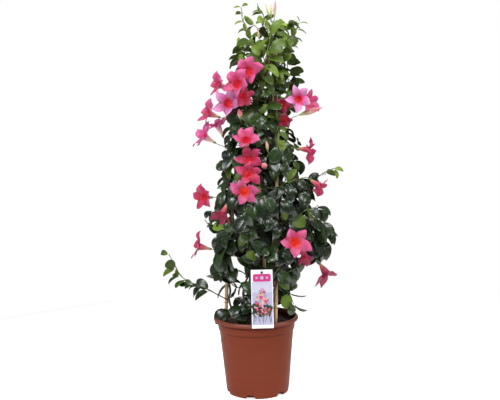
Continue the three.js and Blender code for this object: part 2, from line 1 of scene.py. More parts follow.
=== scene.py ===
# %% [markdown]
# # A mandevilla in its pot
# Mandevilla is a tropical climber. It twines up whatever it meets, carries glossy leaves in pairs, and
# opens one pink trumpet after another at the ends of its shoots. A grower sells it as this one is built:
# several young plants in one nursery pot, led up three bamboo canes that meet at the top.
#
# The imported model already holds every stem, leaf and flower at its real place and size, in plain facets.
# This lesson reads those places off the facets and gives each piece the shape and finish of the real one.

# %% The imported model
import json
import math

import bmesh
import bpy
import numpy as np
from mathutils import Matrix, Vector, noise

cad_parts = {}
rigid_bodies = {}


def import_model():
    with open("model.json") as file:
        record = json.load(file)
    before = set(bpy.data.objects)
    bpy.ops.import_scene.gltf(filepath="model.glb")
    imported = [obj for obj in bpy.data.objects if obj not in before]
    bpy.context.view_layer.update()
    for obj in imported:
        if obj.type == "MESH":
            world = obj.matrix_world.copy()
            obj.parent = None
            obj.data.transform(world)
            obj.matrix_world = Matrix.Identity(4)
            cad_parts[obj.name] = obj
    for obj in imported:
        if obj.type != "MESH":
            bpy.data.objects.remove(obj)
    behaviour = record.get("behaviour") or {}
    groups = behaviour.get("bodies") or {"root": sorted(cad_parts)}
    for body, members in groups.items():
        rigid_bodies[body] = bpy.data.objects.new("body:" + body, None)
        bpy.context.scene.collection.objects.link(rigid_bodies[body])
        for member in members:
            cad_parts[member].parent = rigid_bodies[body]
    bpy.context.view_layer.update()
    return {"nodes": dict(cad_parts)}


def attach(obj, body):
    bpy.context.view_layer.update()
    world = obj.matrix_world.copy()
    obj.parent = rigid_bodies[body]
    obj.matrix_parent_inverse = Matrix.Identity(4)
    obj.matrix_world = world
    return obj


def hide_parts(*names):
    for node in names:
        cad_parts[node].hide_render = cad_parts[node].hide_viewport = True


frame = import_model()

MM = 0.001

# %% [markdown]
# ## Camera
# A plant this tall and thin is pictured from well back with a long lens, so that the pot isn't seen from
# much above. The camera is set first, because later steps keep leaves out of the line from it to a flower.
# It leans a little, as a camera held by hand does.

# %% Camera
CAMERA_PLACE = (-0.010, -2.500, 0.803)
CAMERA_PITCH = math.radians(5.79)
CAMERA_ROLL = math.radians(1.35)
CAMERA_LENS, SENSOR_WIDTH = 64.15, 36  # mm


def in_scene(name, data):
    """A new object of the scene that shows data."""
    made = bpy.data.objects.new(name, data)
    bpy.context.scene.collection.objects.link(made)
    return made


camera = in_scene("camera", bpy.data.cameras.new("camera"))
camera.data.lens = CAMERA_LENS
camera.data.sensor_width = SENSOR_WIDTH
camera.data.clip_end = 50
camera.location = CAMERA_PLACE
camera.rotation_euler = (
    Matrix.Rotation(math.pi / 2 - CAMERA_PITCH, 3, "X") @ Matrix.Rotation(-CAMERA_ROLL, 3, "Z")
).to_euler()
bpy.context.scene.camera = camera
print("the camera stands", -CAMERA_PLACE[1], "m in front of the pot's middle")

# %% [markdown]
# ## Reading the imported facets
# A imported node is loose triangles. Merging the corners that share a place gives back a net of corners, and
# in it each thing has a mark of its own. A leaf ends in a triangle whose sides follow from the leaf's
# length alone. A stem is a chain of small rings of one known radius. So the plant can be measured, and
# needs no second list of where everything is.

# %% Corners and triangles of a node
CLOSE = 0.02 * MM  # lengths that differ by less than this are taken as the same


def size_of(vectors):
    return np.linalg.norm(vectors, axis=-1)


def unit(vectors):
    return vectors / size_of(vectors)[..., None]


def facets(node):
    """The merged corners of a node, and its triangles by corner number."""
    mesh = frame["nodes"][node].data
    points = np.array([vertex.co for vertex in mesh.vertices])
    triangles = np.array([face.vertices for face in mesh.polygons])
    corners, merged = np.unique(np.round(points, 6), axis=0, return_inverse=True)
    return corners, merged.ravel()[triangles]


def neighbours(triangles):
    """The corners next to each corner."""
    near = {}
    for a, b, c in triangles.tolist():
        near.setdefault(a, set()).update((b, c))
        near.setdefault(b, set()).update((a, c))
        near.setdefault(c, set()).update((a, b))
    return near


print("the left vine has", len(facets("vine_left")[0]), "corners")

# %% Leaves: each ends in a triangle whose two long sides follow from its width
FACET_LEAF_WIDTH = 0.76  # share of its length
FACET_LEAF_FOLD = 3 * MM
SMALLEST_LEAF = 8 * MM


def read_leaves(corners, triangles):
    """The base, way, face and length of each leaf of a node, and the corners that the leaves use."""
    leaves, used = [], set()
    for turn in range(3):
        tip, left, right = (corners[triangles[:, (turn + i) % 3]] for i in range(3))
        width = size_of(left - right)
        length = width / FACET_LEAF_WIDTH
        side = np.sqrt(length**2 / 4 + width**2 / 4 + FACET_LEAF_FOLD**2)
        fits = (abs(size_of(tip - left) - side) < CLOSE) & (abs(size_of(tip - right) - side) < CLOSE)
        for i in np.flatnonzero(fits & (length > SMALLEST_LEAF)):
            down = unit(tip[i] - (left[i] + right[i]) / 2)
            up = unit(np.cross(left[i] - tip[i], right[i] - tip[i]))
            half = length[i] / 2
            way = unit(down * half + up * FACET_LEAF_FOLD)
            face = unit(up * half - down * FACET_LEAF_FOLD)
            leaves.append((tip[i] - way * length[i], way, face, length[i]))
            used.update(triangles[i].tolist())
    return leaves, used


print("the left vine has", len(read_leaves(*facets("vine_left"))[0]), "leaves")


# %% Stems: each is a chain of rings
def ring_centres(corners, radius, sides):
    """The middles of the rings of a tube that has this radius and number of sides."""
    apart = size_of(corners[:, None] - corners[None])
    centres = []
    if sides == 3:
        joined = abs(apart - math.sqrt(3) * radius) < CLOSE
        for i, j in np.argwhere(np.triu(joined)):
            for k in np.flatnonzero(joined[i] & joined[j]):
                if k > j:
                    centres.append(corners[[i, j, k]].mean(axis=0))
    else:
        for i, j in np.argwhere(np.triu(abs(apart - 2 * radius) < CLOSE)):
            middle = corners[[i, j]].mean(axis=0)
            on_ring = (abs(size_of(corners - middle) - radius) < CLOSE).sum() == sides
            if on_ring and all(size_of(middle - other) > radius for other in centres):
                centres.append(middle)
    return np.array(centres).reshape(-1, 3)


# %% A smooth line through the rings
CURVE_STEPS = 12  # places on the curve for each step from ring to ring


def chained(points, start):
    """The points in order, each the nearest to the one before, from a start."""
    left, order, at = list(range(len(points))), [], np.array(start)
    while left:
        after = min(left, key=lambda i: size_of(points[i] - at))
        at = points[after]
        order.append(after)
        left.remove(after)
    return points[order]


def run_along(line):
    """How far along a line each of its points is."""
    return np.append(0, np.cumsum(size_of(np.diff(line, axis=0))))


def smooth_line(points, spacing):
    """A smooth curve through the points, as evenly spaced points."""
    points = np.asarray(points, float)
    ends = np.vstack([2 * points[0] - points[1], points, 2 * points[-1] - points[-2]])
    t = np.linspace(0, 1, CURVE_STEPS, endpoint=False)[:, None]
    curve = [
        b + t * (c - a) / 2 + t**2 * (a - 2.5 * b + 2 * c - d / 2)
        + t**3 * (1.5 * b - a / 2 - 1.5 * c + d / 2)
        for a, b, c, d in zip(ends, ends[1:], ends[2:], ends[3:])
    ]
    curve = np.vstack([*curve, points[-1:]])
    run = run_along(curve)
    at = np.linspace(0, run[-1], max(3, round(run[-1] / spacing) + 1))
    return np.stack([np.interp(at, run, curve[:, i]) for i in range(3)], axis=1)


# %% The vines' lines, from the soil to their tips
VINES = ["vine_left", "vine_front", "vine_back", "vine_middle"]
VINE_RADIUS, SHOOT_RADIUS, STALK_RADIUS = 2.6 * MM, 1.6 * MM, 1.3 * MM
LINE_SPACING = 5 * MM


def by_height(points):
    return points[np.argsort(points[:, 2])]


vine_lines = {
    name: smooth_line(by_height(ring_centres(facets(name)[0], VINE_RADIUS, 4)), LINE_SPACING)
    for name in VINES
}
all_vines = np.vstack([smooth_line(line, 1 * MM) for line in vine_lines.values()])
for name, line in vine_lines.items():
    print(name, "is", round(len(line) * LINE_SPACING, 2), "m long")

# %% The foot of each shoot: where its line, run on backwards, meets a vine
LONGEST_RUN = 90 * MM


def foot_of(chain):
    """The place on the vines that a chain of points comes from."""
    back = unit(chain[0] - chain[1])
    run = (all_vines - chain[0]) @ back
    aside = size_of(all_vines - chain[0] - run[:, None] * back)
    cost = aside + 0.3 * run + 10 * ((run < 0) | (run > LONGEST_RUN))
    return all_vines[np.argmin(cost)]


def shoot_line(rings):
    """The line of a shoot, from its vine out. The end nearer to a vine is its foot."""
    away = [size_of(all_vines - ring).min() for ring in rings]
    chain = chained(rings, rings[int(np.argmin(away))])
    return smooth_line([foot_of(chain), *chain], LINE_SPACING)


def laterals_of(corners, triangles, leafy):
    """The rings of each short shoot of a vine, joined by edges that stay clear of the vines."""
    clear = 1.2 * VINE_RADIUS
    free = {
        i for i, corner in enumerate(corners) if i not in leafy and size_of(all_vines - corner).min() > clear
    }
    near, group = neighbours(triangles), {}
    for start in sorted(free):
        todo = [start]
        while todo:
            i = todo.pop()
            if i in free and i not in group:
                group[i] = start
                todo += near[i]
    members = {}
    for ring in ring_centres(corners, SHOOT_RADIUS, 3):
        nearest = min(group, key=lambda i: size_of(corners[i] - ring))
        members.setdefault(group[nearest], []).append(ring)
    return [np.array(rings) for rings in members.values() if len(rings) > 1]


# %% The plant, node by node: its leaves and the lines of its shoots
leafy_nodes = [name for name in sorted(frame["nodes"]) if name.startswith(("vine_", "side_", "shoot_"))]
leaves_of, shoots_of = {}, {}
for name in leafy_nodes:
    corners, triangles = facets(name)
    leaves_of[name], leaf_corners = read_leaves(corners, triangles)
    if name in VINES:
        shoots_of[name] = [shoot_line(rings) for rings in laterals_of(corners, triangles, leaf_corners)]
    else:
        shoots_of[name] = [shoot_line(ring_centres(corners, SHOOT_RADIUS, 3))]
print("leaves:", sum(map(len, leaves_of.values())), "shoots:", sum(map(len, shoots_of.values())))

# %% [markdown]
# ## Tools for shapes
# Most of the plant is drawn-out surfaces: a stem is a ring carried along a line, a pot is a profile turned
# round an axis, a petal is a bent sheet. All of them are grids of points, so one small class serves them
# all. Each face also gets its place on the surface (its UV), so that grain and veins can follow it.


# %% Gathering grids of points into one mesh
class Shape:
    """Points and faces, gathered until a mesh is made of them."""

    def __init__(self):
        self.points, self.faces, self.uvs, self.finishes, self.count = [], [], [], [], 0

    def add_points(self, points):
        """More points. Gives the number of the first of them."""
        self.points.append(np.asarray(points, float).reshape(-1, 3))
        self.count += len(self.points[-1])
        return self.count - len(self.points[-1])

    def add_faces(self, faces, uvs, finish=0):
        self.faces += faces
        self.uvs += uvs
        self.finishes += [finish] * len(faces)

    def add_grid(self, grid, uv, wraps=False, closed_ends=False, finish=0):
        """A grid of points by rows. uv has one column more where the grid wraps round."""
        rows, columns = grid.shape[:2]
        uv = np.asarray(uv).tolist()
        faces, uvs = [], []
        for i in range(rows - 1):
            for j in range(columns if wraps else columns - 1):
                k = (j + 1) % columns
                faces.append([i * columns + j, i * columns + k, (i + 1) * columns + k, (i + 1) * columns + j])
                uvs.append([uv[i][j], uv[i][j + 1], uv[i + 1][j + 1], uv[i + 1][j]])
        points = grid.reshape(-1, 3)
        if closed_ends:
            points = np.vstack([points, grid[0].mean(axis=0), grid[-1].mean(axis=0)])
            first, last, row = rows * columns, rows * columns + 1, (rows - 1) * columns
            for j in range(columns):
                k = (j + 1) % columns
                faces.append([k, j, first])
                uvs.append([uv[0][j + 1], uv[0][j], uv[0][j]])
                faces.append([row + j, row + k, last])
                uvs.append([uv[-1][j], uv[-1][j + 1], uv[-1][j]])
        first = self.add_points(points)
        self.add_faces([[first + i for i in face] for face in faces], uvs, finish)

    def mesh(self, name, *materials):
        """All of it as one smooth mesh. A face's finish is the number of its material."""
        made = bpy.data.meshes.new(name)
        made.from_pydata(np.vstack(self.points).tolist(), [], self.faces)
        flat = [number for face in self.uvs for corner in face for number in corner]
        made.uv_layers.new(name="UVMap").data.foreach_set("uv", flat)
        for material in materials:
            made.materials.append(material)
        made.polygons.foreach_set("material_index", self.finishes)
        made.shade_smooth()
        return made


# %% A tube along a line
def round_angles(count):
    """Evenly spaced angles, once round."""
    return np.linspace(0, 2 * math.pi, count, endpoint=False)


def uv_round(columns, along, width=1):
    """The UV of a grid that wraps round: the share of the way round, and what is along it."""
    return np.stack(np.meshgrid(np.linspace(0, width, columns + 1), along), axis=-1)


def frames_along(line):
    """The way of a line at each of its points, and two directions across it that never spin."""
    ways = unit(np.gradient(line, axis=0))
    across = np.cross(ways[0], (0, 0, 1) if abs(ways[0][2]) < 0.9 else (1, 0, 0))
    sides = []
    for way in ways:
        across = unit(across - way * (across @ way))
        sides.append(across)
    sides = np.array(sides)
    return ways, sides, np.cross(ways, sides)


def rings_along(line, radii, angles):
    """Rings of points round a line. Radii and angles may differ from ring to ring."""
    _, right, up = frames_along(line)
    return line[:, None] + radii[..., None] * (
        np.cos(angles)[..., None] * right[:, None] + np.sin(angles)[..., None] * up[:, None]
    )


def add_tube(shape, line, radii, sides, finish=0):
    """A tube along a line. Its UV is the share of the way round, and the metres along."""
    grid = rings_along(line, np.broadcast_to(radii, len(line))[:, None], round_angles(sides))
    shape.add_grid(grid, uv_round(sides, run_along(line)), wraps=True, closed_ends=True, finish=finish)


# %% A profile turned round the upright axis
CORNER_STEPS, MOST_EASED = 4, 0.45  # points round a corner, and how much of the way to the next it takes


def lathe(shape, profile, segments, finish=0):
    """Turns a profile of (radius, height) pairs that starts and ends on the axis."""
    profile = np.asarray(profile, float)
    angles = round_angles(segments)
    radius, height = profile[1:-1, 0, None], profile[1:-1, 1, None]
    grid = np.stack([radius * np.cos(angles), radius * np.sin(angles), height + 0 * angles], axis=-1)
    uv = uv_round(segments, run_along(profile[1:-1]))
    shape.add_grid(grid, uv, wraps=True, closed_ends=True, finish=finish)


def eased(profile, reach):
    """A profile with each inner corner rounded off."""
    points = [np.array(p, float) for p in profile]
    out = [points[0]]
    for before, corner, after in zip(points, points[1:], points[2:]):
        start = corner + unit(before - corner) * min(reach, size_of(before - corner) * MOST_EASED)
        end = corner + unit(after - corner) * min(reach, size_of(after - corner) * MOST_EASED)
        for t in np.linspace(0, 1, CORNER_STEPS + 1):
            out.append((1 - t) ** 2 * start + 2 * t * (1 - t) * corner + t**2 * end)
    return np.array([*out, points[-1]])


# %% Making a mesh a piece of the plant
def as_piece(name, mesh, slot, *nodes):
    """An object that rides on the frame and replaces nodes. Its slot is not used."""
    piece = in_scene(name, mesh)
    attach(piece, "root")
    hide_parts(*nodes)
    mesh.calc_loop_triangles()
    print(f"{name}: {len(mesh.loop_triangles)} triangles")


def plain_mesh(carrier, name):
    """The mesh that an object shows once its modifiers have run."""
    graph = bpy.context.evaluated_depsgraph_get()
    made = bpy.data.meshes.new_from_object(
        carrier.evaluated_get(graph), preserve_all_data_layers=True, depsgraph=graph
    )
    bpy.data.objects.remove(carrier)
    made.name = name
    return made


def with_modifier(name, mesh, kind, **settings):
    """A mesh after a modifier has been applied to it."""
    carrier = in_scene(name, mesh)
    modifier = carrier.modifiers.new(kind.lower(), kind)
    for key, value in settings.items():
        setattr(modifier, key, value)
    return plain_mesh(carrier, name)


# %% [markdown]
# ## Tools for node trees
# A finish is a tree of shader nodes, and a repeat is a tree of geometry nodes. Both are built alike: put a
# node in the tree at hand, and give each input a value or join it to another node's output.

# %% Putting nodes in a tree
at_hand = {}  # the tree that new nodes go into, and its shader


def give(socket, value):
    """Gives an input a value, or joins it to another node's output."""
    if isinstance(value, bpy.types.NodeSocket):
        at_hand["tree"].links.new(value, socket)
    else:
        socket.default_value = value


def put(kind, inputs=(), **settings):
    """A new node, with inputs by name or number."""
    made = at_hand["tree"].nodes.new(kind)
    for key, value in settings.items():
        setattr(made, key, value)
    for key, value in dict(inputs).items():
        give(made.inputs[key], value)
    return made


def maths(operation, *numbers):
    return put("ShaderNodeMath", dict(enumerate(numbers)), operation=operation).outputs[0]


def spread(number, from_low, from_high, to_low=0.0, to_high=1.0):
    """A number brought smoothly from one range to another."""
    inputs = {0: number, 1: from_low, 2: from_high, 3: to_low, 4: to_high}
    return put("ShaderNodeMapRange", inputs, interpolation_type="SMOOTHSTEP").outputs[0]


def nudged(number, cloud, reach):
    """A number moved up and down by a cloud."""
    return maths("ADD", number, maths("MULTIPLY", maths("SUBTRACT", cloud, 0.5), reach))


# %% Colours in a tree
def ramp(number, *stops):
    """A colour by a number from 0 to 1. Each stop is (number, (red, green, blue))."""
    made = put("ShaderNodeValToRGB", {0: number})
    elements = made.color_ramp.elements
    while len(elements) < len(stops):
        elements.new(1.0)
    for element, (at, color) in zip(elements, stops):
        element.position = at
        element.color = (*color, 1)
    return made.outputs[0]


def mixed(share, color, other):
    """Two colours, mixed by a share."""
    inputs = {0: share, 6: color, 7: other}
    for key in (6, 7):
        if isinstance(inputs[key], tuple):
            inputs[key] = (*inputs[key], 1)
    return put("ShaderNodeMix", inputs, data_type="RGBA").outputs[2]


# %% Unevenness, and a finish to put it in
def clouds(place, scale, detail=3.0, roughness=0.5):
    """A soft noise from 0 to 1."""
    inputs = {"Vector": place, "Scale": scale, "Detail": detail, "Roughness": roughness}
    return put("ShaderNodeTexNoise", inputs).outputs["Fac"]


def stretched(place, x, y, z):
    return put("ShaderNodeMapping", {"Vector": place, "Scale": (x, y, z)}).outputs[0]


def axis_of(place, axis):
    """The x, y or z of a place, by its number."""
    return put("ShaderNodeSeparateXYZ", {0: place}).outputs[axis]


def number_of(name):
    """What the mesh says of each point under a name."""
    return put("ShaderNodeAttribute", attribute_name=name).outputs["Fac"]


def feed(title, value):
    """Gives an input of the shader at hand a value or an output."""
    give(at_hand["shader"].inputs[title], value)


def new_finish(name, roughness):
    """A material, whose tree is then at hand, and each point's place on the object and the surface."""
    material = bpy.data.materials.new(name)
    material.use_nodes = True
    at_hand.update(tree=material.node_tree, shader=material.node_tree.nodes["Principled BSDF"])
    feed("Roughness", roughness)
    spot = put("ShaderNodeTexCoord").outputs["Object"]
    surface = put("ShaderNodeUVMap", uv_map="UVMap").outputs[0]
    print("finish:", name)
    return material, spot, surface


def color_with(color):
    feed("Base Color", color)


def relief(height, distance):
    """Bumps that follow a height from 0 to 1, as high as a distance in metres."""
    bumps = put("ShaderNodeBump", {"Height": height, "Distance": distance, "Strength": 1.0})
    feed("Normal", bumps.outputs[0])


# %% [markdown]
# ## Pot
# A nursery pot is moulded from thin polypropylene, coloured like fired clay. The wall tapers so that pots
# stack, a collar and a rolled rim stiffen the top, and notches round the foot let water out. It is a
# profile turned round an axis. The notches are then cut out with a boolean, as gaps in a round wall.

# %% Moulded plastic
CLAY, CLAY_DARK = (0.151, 0.0315, 0.0148), (0.140, 0.0280, 0.0130)
CLAY_DUSTY, CLAY_IN_SHADE = (0.165, 0.036, 0.018), (0.052, 0.011, 0.006)
# Two bands of painted shade: just under the collar's step, and just under the rolled rim.
PAINTED_SHADE_BANDS = [  # from, to, how soft, how dark
    (0.1800, 0.1822, 0.0030, 0.60), (0.2040, 0.2062, 0.0065, 0.85),
]
RIM_SHINE = (0.209, 0.214, 0.05, 0.5)  # from this height to that one the shine goes from dull to glossy

pot_plastic, spot, surface = new_finish("pot_plastic", 0.46)
streaks = clouds(stretched(spot, 1, 1, 6), 9.0, 4.0)
tone = ramp(streaks, (0.3, CLAY_DARK), (0.55, CLAY), (0.85, CLAY))
dust = spread(clouds(spot, 38.0, 6.0, 0.7), 0.58, 0.8, 0.0, 0.35)
height = axis_of(spot, 2)
shade_bands = [
    maths(
        "MULTIPLY", spread(height, low - soft, low, 0.0, dark),
        spread(height, high, high + 1.5 * MM, 1.0, 0.0),
    )
    for low, high, soft, dark in PAINTED_SHADE_BANDS
]
painted_shade = maths("MAXIMUM", *shade_bands)
# painted shade darkens the two bands under the collar and the rim; the dust is real
color_with(mixed(painted_shade, mixed(dust, tone, CLAY_DUSTY), CLAY_IN_SHADE))
feed("Specular IOR Level", spread(height, *RIM_SHINE))
grain = clouds(spot, 900.0, 2.0)
bands = clouds(stretched(spot, 1, 1, 60), 3.0, 2.0)
relief(maths("ADD", maths("MULTIPLY", grain, 0.25), bands), 0.12 * MM)
feed("Roughness", spread(clouds(spot, 30.0), 0.2, 0.8, 0.40, 0.52))

# %% Pot, turned from its profile
# (radius, height) in mm
POT_OUTSIDE = [(0, 0.6), (60, 0.6), (64, 0), (87, 0), (89.5, 12), (105.6, 180), (108.6, 183), (110.8, 205.5)]
POT_RIM = [(117.5, 206.4), (120, 208.5), (120, 213), (117.6, 218.2), (114, 219), (110.6, 215.5)]
POT_INSIDE = [(106.5, 184.5), (103.6, 181.5), (85.2, 3.5), (0, 3.5)]
POT_CORNER, POT_SEGMENTS = 1.6, 144

pot_body = Shape()
lathe(pot_body, np.array(eased(POT_OUTSIDE + POT_RIM + POT_INSIDE, POT_CORNER)) * MM, POT_SEGMENTS)

# %% Notches, cut out of the foot
NOTCH = [(-14.5, -4), (-14.5, -2), (-10, 10.5), (10, 10.5), (14.5, -2), (14.5, -4)]  # across and up, in mm
NOTCH_CORNER, NOTCH_DEPTHS = 3.0, (72, 104)  # the cutter's two ends, from the pot's axis
NOTCH_COUNT, NOTCH_FIRST = 6, math.radians(-14)
SHARP_FROM = math.radians(38)

notch_cutter = Shape()
notch_outline = eased(NOTCH, NOTCH_CORNER)
for i in range(NOTCH_COUNT):
    turn = Matrix.Rotation(NOTCH_FIRST + 2 * math.pi * i / NOTCH_COUNT, 3, "Z")
    ends = [
        [turn @ Vector((x, -depth, z)) * MM for x, z in reversed(notch_outline)] for depth in NOTCH_DEPTHS
    ]
    notch_cutter.add_grid(np.array(ends), np.zeros((2, len(notch_outline) + 1, 2)), True, True)

cutter = in_scene("cutter", notch_cutter.mesh("cutter"))
pot_mesh = with_modifier(
    "pot_body", pot_body.mesh("pot_body", pot_plastic), "BOOLEAN",
    object=cutter, operation="DIFFERENCE", solver="EXACT",
)
bpy.data.objects.remove(cutter)
pot_mesh.set_sharp_from_angle(angle=SHARP_FROM)
as_piece("pot_body", pot_mesh, "pot_plastic", "pot")

# %% [markdown]
# ## Potting mix
# The mix is peat with bits of bark, filled to two fingers below the rim. Peat settles into soft lumps, and
# the bark stays on top as crumbs of every size. The surface is a round grid raised by noise, and geometry
# nodes scatter the crumbs over it.

# %% Peat and bark finishes
PEAT_DARK, PEAT = (0.004, 0.003, 0.002), (0.026, 0.016, 0.011)
BARK_DARK, BARK, BARK_PALE = (0.012, 0.007, 0.005), (0.045, 0.022, 0.014), (0.12, 0.060, 0.035)

peat, spot, surface = new_finish("peat", 0.95)
lumps = clouds(spot, 160.0, 8.0, 0.7)
color_with(ramp(lumps, (0.25, PEAT_DARK), (0.75, PEAT)))
relief(lumps, 1.5 * MM)

bark, spot, surface = new_finish("bark", 0.85)
flecks = clouds(spot, 55.0, 2.0)
color_with(ramp(flecks, (0.3, BARK_DARK), (0.5, BARK), (0.68, BARK_PALE)))
relief(clouds(spot, 400.0, 4.0), 0.8 * MM)

# %% Potting mix, a round grid raised by noise
SOIL_TOP, SOIL_RADIUS, SOIL_DEPTH, SOIL_EDGE = 198 * MM, 103 * MM, 40 * MM, 1.5 * MM
SOIL_RINGS, SOIL_SEGMENTS = 34, 96
LUMP_SIZE, LUMP_HEIGHT = 0.022, 4 * MM

mix = Shape()
radii = np.append(np.linspace(SOIL_EDGE, SOIL_RADIUS, SOIL_RINGS), SOIL_RADIUS - SOIL_EDGE)[:, None]
angles = round_angles(SOIL_SEGMENTS)
soil_grid = np.stack([radii * np.cos(angles), radii * np.sin(angles), 0 * radii + 0 * angles], -1)
for row in soil_grid[:-1]:
    for point in row:
        rise = noise.fractal(Vector(point) / LUMP_SIZE, 0.8, 2.0, 4)
        point[2] = SOIL_TOP - SOIL_EDGE + LUMP_HEIGHT * max(-1.0, min(0.7, rise))
soil_grid[-1, :, 2] = SOIL_TOP - SOIL_DEPTH
mix.add_grid(soil_grid[::-1], soil_grid[::-1][:, list(range(SOIL_SEGMENTS)) + [0], :2], True, True)
soil_mesh = mix.mesh("potting_mix", peat)
as_piece("potting_mix", soil_mesh, "soil", "soil")


# %% Crumbs of bark, for geometry nodes to scatter
def crumb(name, size, seed):
    """A rough chunk with twenty sides, its corners moved in or out by chance."""
    rng = np.random.default_rng(seed)
    golden = (1 + math.sqrt(5)) / 2
    corners = unit(np.array([
        (-1, golden, 0), (1, golden, 0), (-1, -golden, 0), (1, -golden, 0), (0, -1, golden), (0, 1, golden),
        (0, -1, -golden), (0, 1, -golden), (golden, 0, -1), (golden, 0, 1), (-golden, 0, -1), (-golden, 0, 1),
    ], float))
    faces = [
        (0, 11, 5), (0, 5, 1), (0, 1, 7), (0, 7, 10), (0, 10, 11), (1, 5, 9), (5, 11, 4), (11, 10, 2),
        (10, 7, 6), (7, 1, 8), (3, 9, 4), (3, 4, 2), (3, 2, 6), (3, 6, 8), (3, 8, 9), (4, 9, 5), (2, 4, 11),
        (6, 2, 10), (8, 6, 7), (9, 8, 1),
    ]
    mesh = bpy.data.meshes.new(name)
    rough = corners * rng.uniform(0.7, 1.2, (12, 1)) * np.array(size) / 2
    mesh.from_pydata(rough.tolist(), [], faces)
    return bpy.data.objects.new(name, mesh)


def store_of(name, things):
    """A collection outside the scene that geometry nodes can take shapes from."""
    store = bpy.data.collections.new(name)
    for thing in things:
        store.objects.link(thing)
    return store


def clear_store(store):
    for thing in list(store.objects):
        bpy.data.objects.remove(thing)
    bpy.data.collections.remove(store)


# %% Geometry node trees
def new_tree(name, **inputs):
    """A geometry node tree with named inputs, each a socket type and a value."""
    tree = at_hand["tree"] = bpy.data.node_groups.new(name, "GeometryNodeTree")
    tree.is_modifier = True
    face = tree.interface
    face.new_socket("Geometry", in_out="INPUT", socket_type="NodeSocketGeometry")
    face.new_socket("Geometry", in_out="OUTPUT", socket_type="NodeSocketGeometry")
    for title, (kind, value) in inputs.items():
        socket = face.new_socket(title, in_out="INPUT", socket_type="NodeSocket" + kind)
        if value is not None:
            socket.default_value = value
    return tree, tree.nodes.new("NodeGroupInput").outputs


def instanced(points, store, **inputs):
    """The shapes of a store, one at each point, as real faces."""
    shapes = {"Collection": store, "Separate Children": True, "Reset Children": True}
    picked = {"Instance": put("GeometryNodeCollectionInfo", shapes).outputs[0], "Pick Instance": True}
    more = {title.replace("_", " "): value for title, value in inputs.items()}
    placed = put("GeometryNodeInstanceOnPoints", {"Points": points, **picked, **more})
    return put("GeometryNodeRealizeInstances", {0: placed.outputs[0]}).outputs[0]


def grown(name, mesh, tree, **inputs):
    """What a geometry node tree makes of a mesh, as a plain mesh."""
    carrier = in_scene(name, mesh)
    modifier = carrier.modifiers.new(tree.name, "NODES")
    modifier.node_group = tree
    for title, value in inputs.items():
        modifier[tree.interface.items_tree[title].identifier] = value
    return plain_mesh(carrier, name)


# %% The tree that scatters crumbs
FULL_TURN = 6.28
MOST_CRUMBS, LEVEL_FROM = 60000.0, 0.5  # for each square metre, and how level a face has to be

scatter, given = new_tree(
    "Scatter crumbs", Crumbs=("Collection", None), Spacing=("Float", 3 * MM), Smallest=("Float", 0.5),
    Largest=("Float", 1.6), Seed=("Int", 4), Finish=("Material", None),
)
upward = axis_of(put("GeometryNodeInputNormal").outputs[0], 2)
spots = put(
    "GeometryNodeDistributePointsOnFaces",
    {"Mesh": given["Geometry"], "Distance Min": given["Spacing"], "Density Max": MOST_CRUMBS,
     "Seed": given["Seed"], "Selection": maths("GREATER_THAN", upward, LEVEL_FROM)},
    distribute_method="POISSON",
)
turns = put(
    "FunctionNodeRandomValue", {0: (0.0,) * 3, 1: (FULL_TURN,) * 3, "Seed": given["Seed"]},
    data_type="FLOAT_VECTOR",
)
sizes = put(
    "FunctionNodeRandomValue", {2: given["Smallest"], 3: given["Largest"], "Seed": given["Seed"]},
    data_type="FLOAT",
)
solid = instanced(
    spots.outputs["Points"], given["Crumbs"], Rotation=turns.outputs[0], Scale=sizes.outputs[1]
)
finished = put("GeometryNodeSetMaterial", {0: solid, "Material": given["Finish"]})
put("NodeGroupOutput", {0: finished.outputs[0]})

# %% Bark crumbs on the mix
CRUMB_SIZES = [(7, 4.5, 2.5), (4, 3, 2), (9, 3, 2.2), (3, 2.5, 2)]  # mm
crumbs = store_of("crumbs", [
    crumb(f"crumb_{i}", np.array(size) * MM, seed=i) for i, size in enumerate(CRUMB_SIZES)
])
bark_mesh = grown(
    "bark_crumbs", soil_mesh.copy(), scatter, Crumbs=crumbs, Spacing=4.2 * MM, Seed=4, Finish=bark
)
clear_store(crumbs)
as_piece("bark_crumbs", bark_mesh, "soil", "soil")

# %% [markdown]
# ## Canes
# The canes are thin culms of bamboo. A culm is a tube with a joint every hand's width or so, where a dark
# ridge runs round it, and fine fibres run along it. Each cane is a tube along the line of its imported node,
# thicker at each joint, and narrowing a little upwards.

# %% Bamboo
CANE_RADIUS, CANE_JOINT, JOINT_BAND = 5 * MM, 0.148, 2.6 * MM
BAMBOO_PALE, BAMBOO, BAMBOO_DARK = (0.55, 0.38, 0.20), (0.40, 0.24, 0.11), (0.10, 0.050, 0.022)

bamboo, spot, surface = new_finish("bamboo", 0.42)
fibres = clouds(stretched(surface, 40, 12, 1), 1.0, 5.0, 0.6)
stains = clouds(stretched(surface, 3, 14, 1), 1.0, 3.0)
tone = ramp(fibres, (0.25, BAMBOO), (0.7, BAMBOO_PALE))
tone = mixed(spread(stains, 0.52, 0.75, 0.0, 0.55), tone, BAMBOO_DARK)
to_joint = maths("PINGPONG", axis_of(surface, 1), CANE_JOINT / 2)
at_joint = spread(to_joint, 0.0, JOINT_BAND, 1.0, 0.0)
color_with(mixed(maths("MULTIPLY", at_joint, 0.75), tone, BAMBOO_DARK))
relief(fibres, 0.25 * MM)

# %% Canes along the lines of their nodes
CANE_SPACING = 2.0 * MM
RIDGE, RIDGE_REACH = 0.17, 2.2 * MM
WAIST, WAIST_AT, WAIST_REACH = 0.08, 6 * MM, 4 * MM  # a culm is slimmest beside its ridge


def joint_swell(run):
    """How much thicker a cane is near a joint, as a share."""
    near = abs((run + CANE_JOINT / 2) % CANE_JOINT - CANE_JOINT / 2)
    ridge = RIDGE * np.exp(-((near / RIDGE_REACH) ** 2))
    return ridge - WAIST * np.exp(-(((near - WAIST_AT) / WAIST_REACH) ** 2))


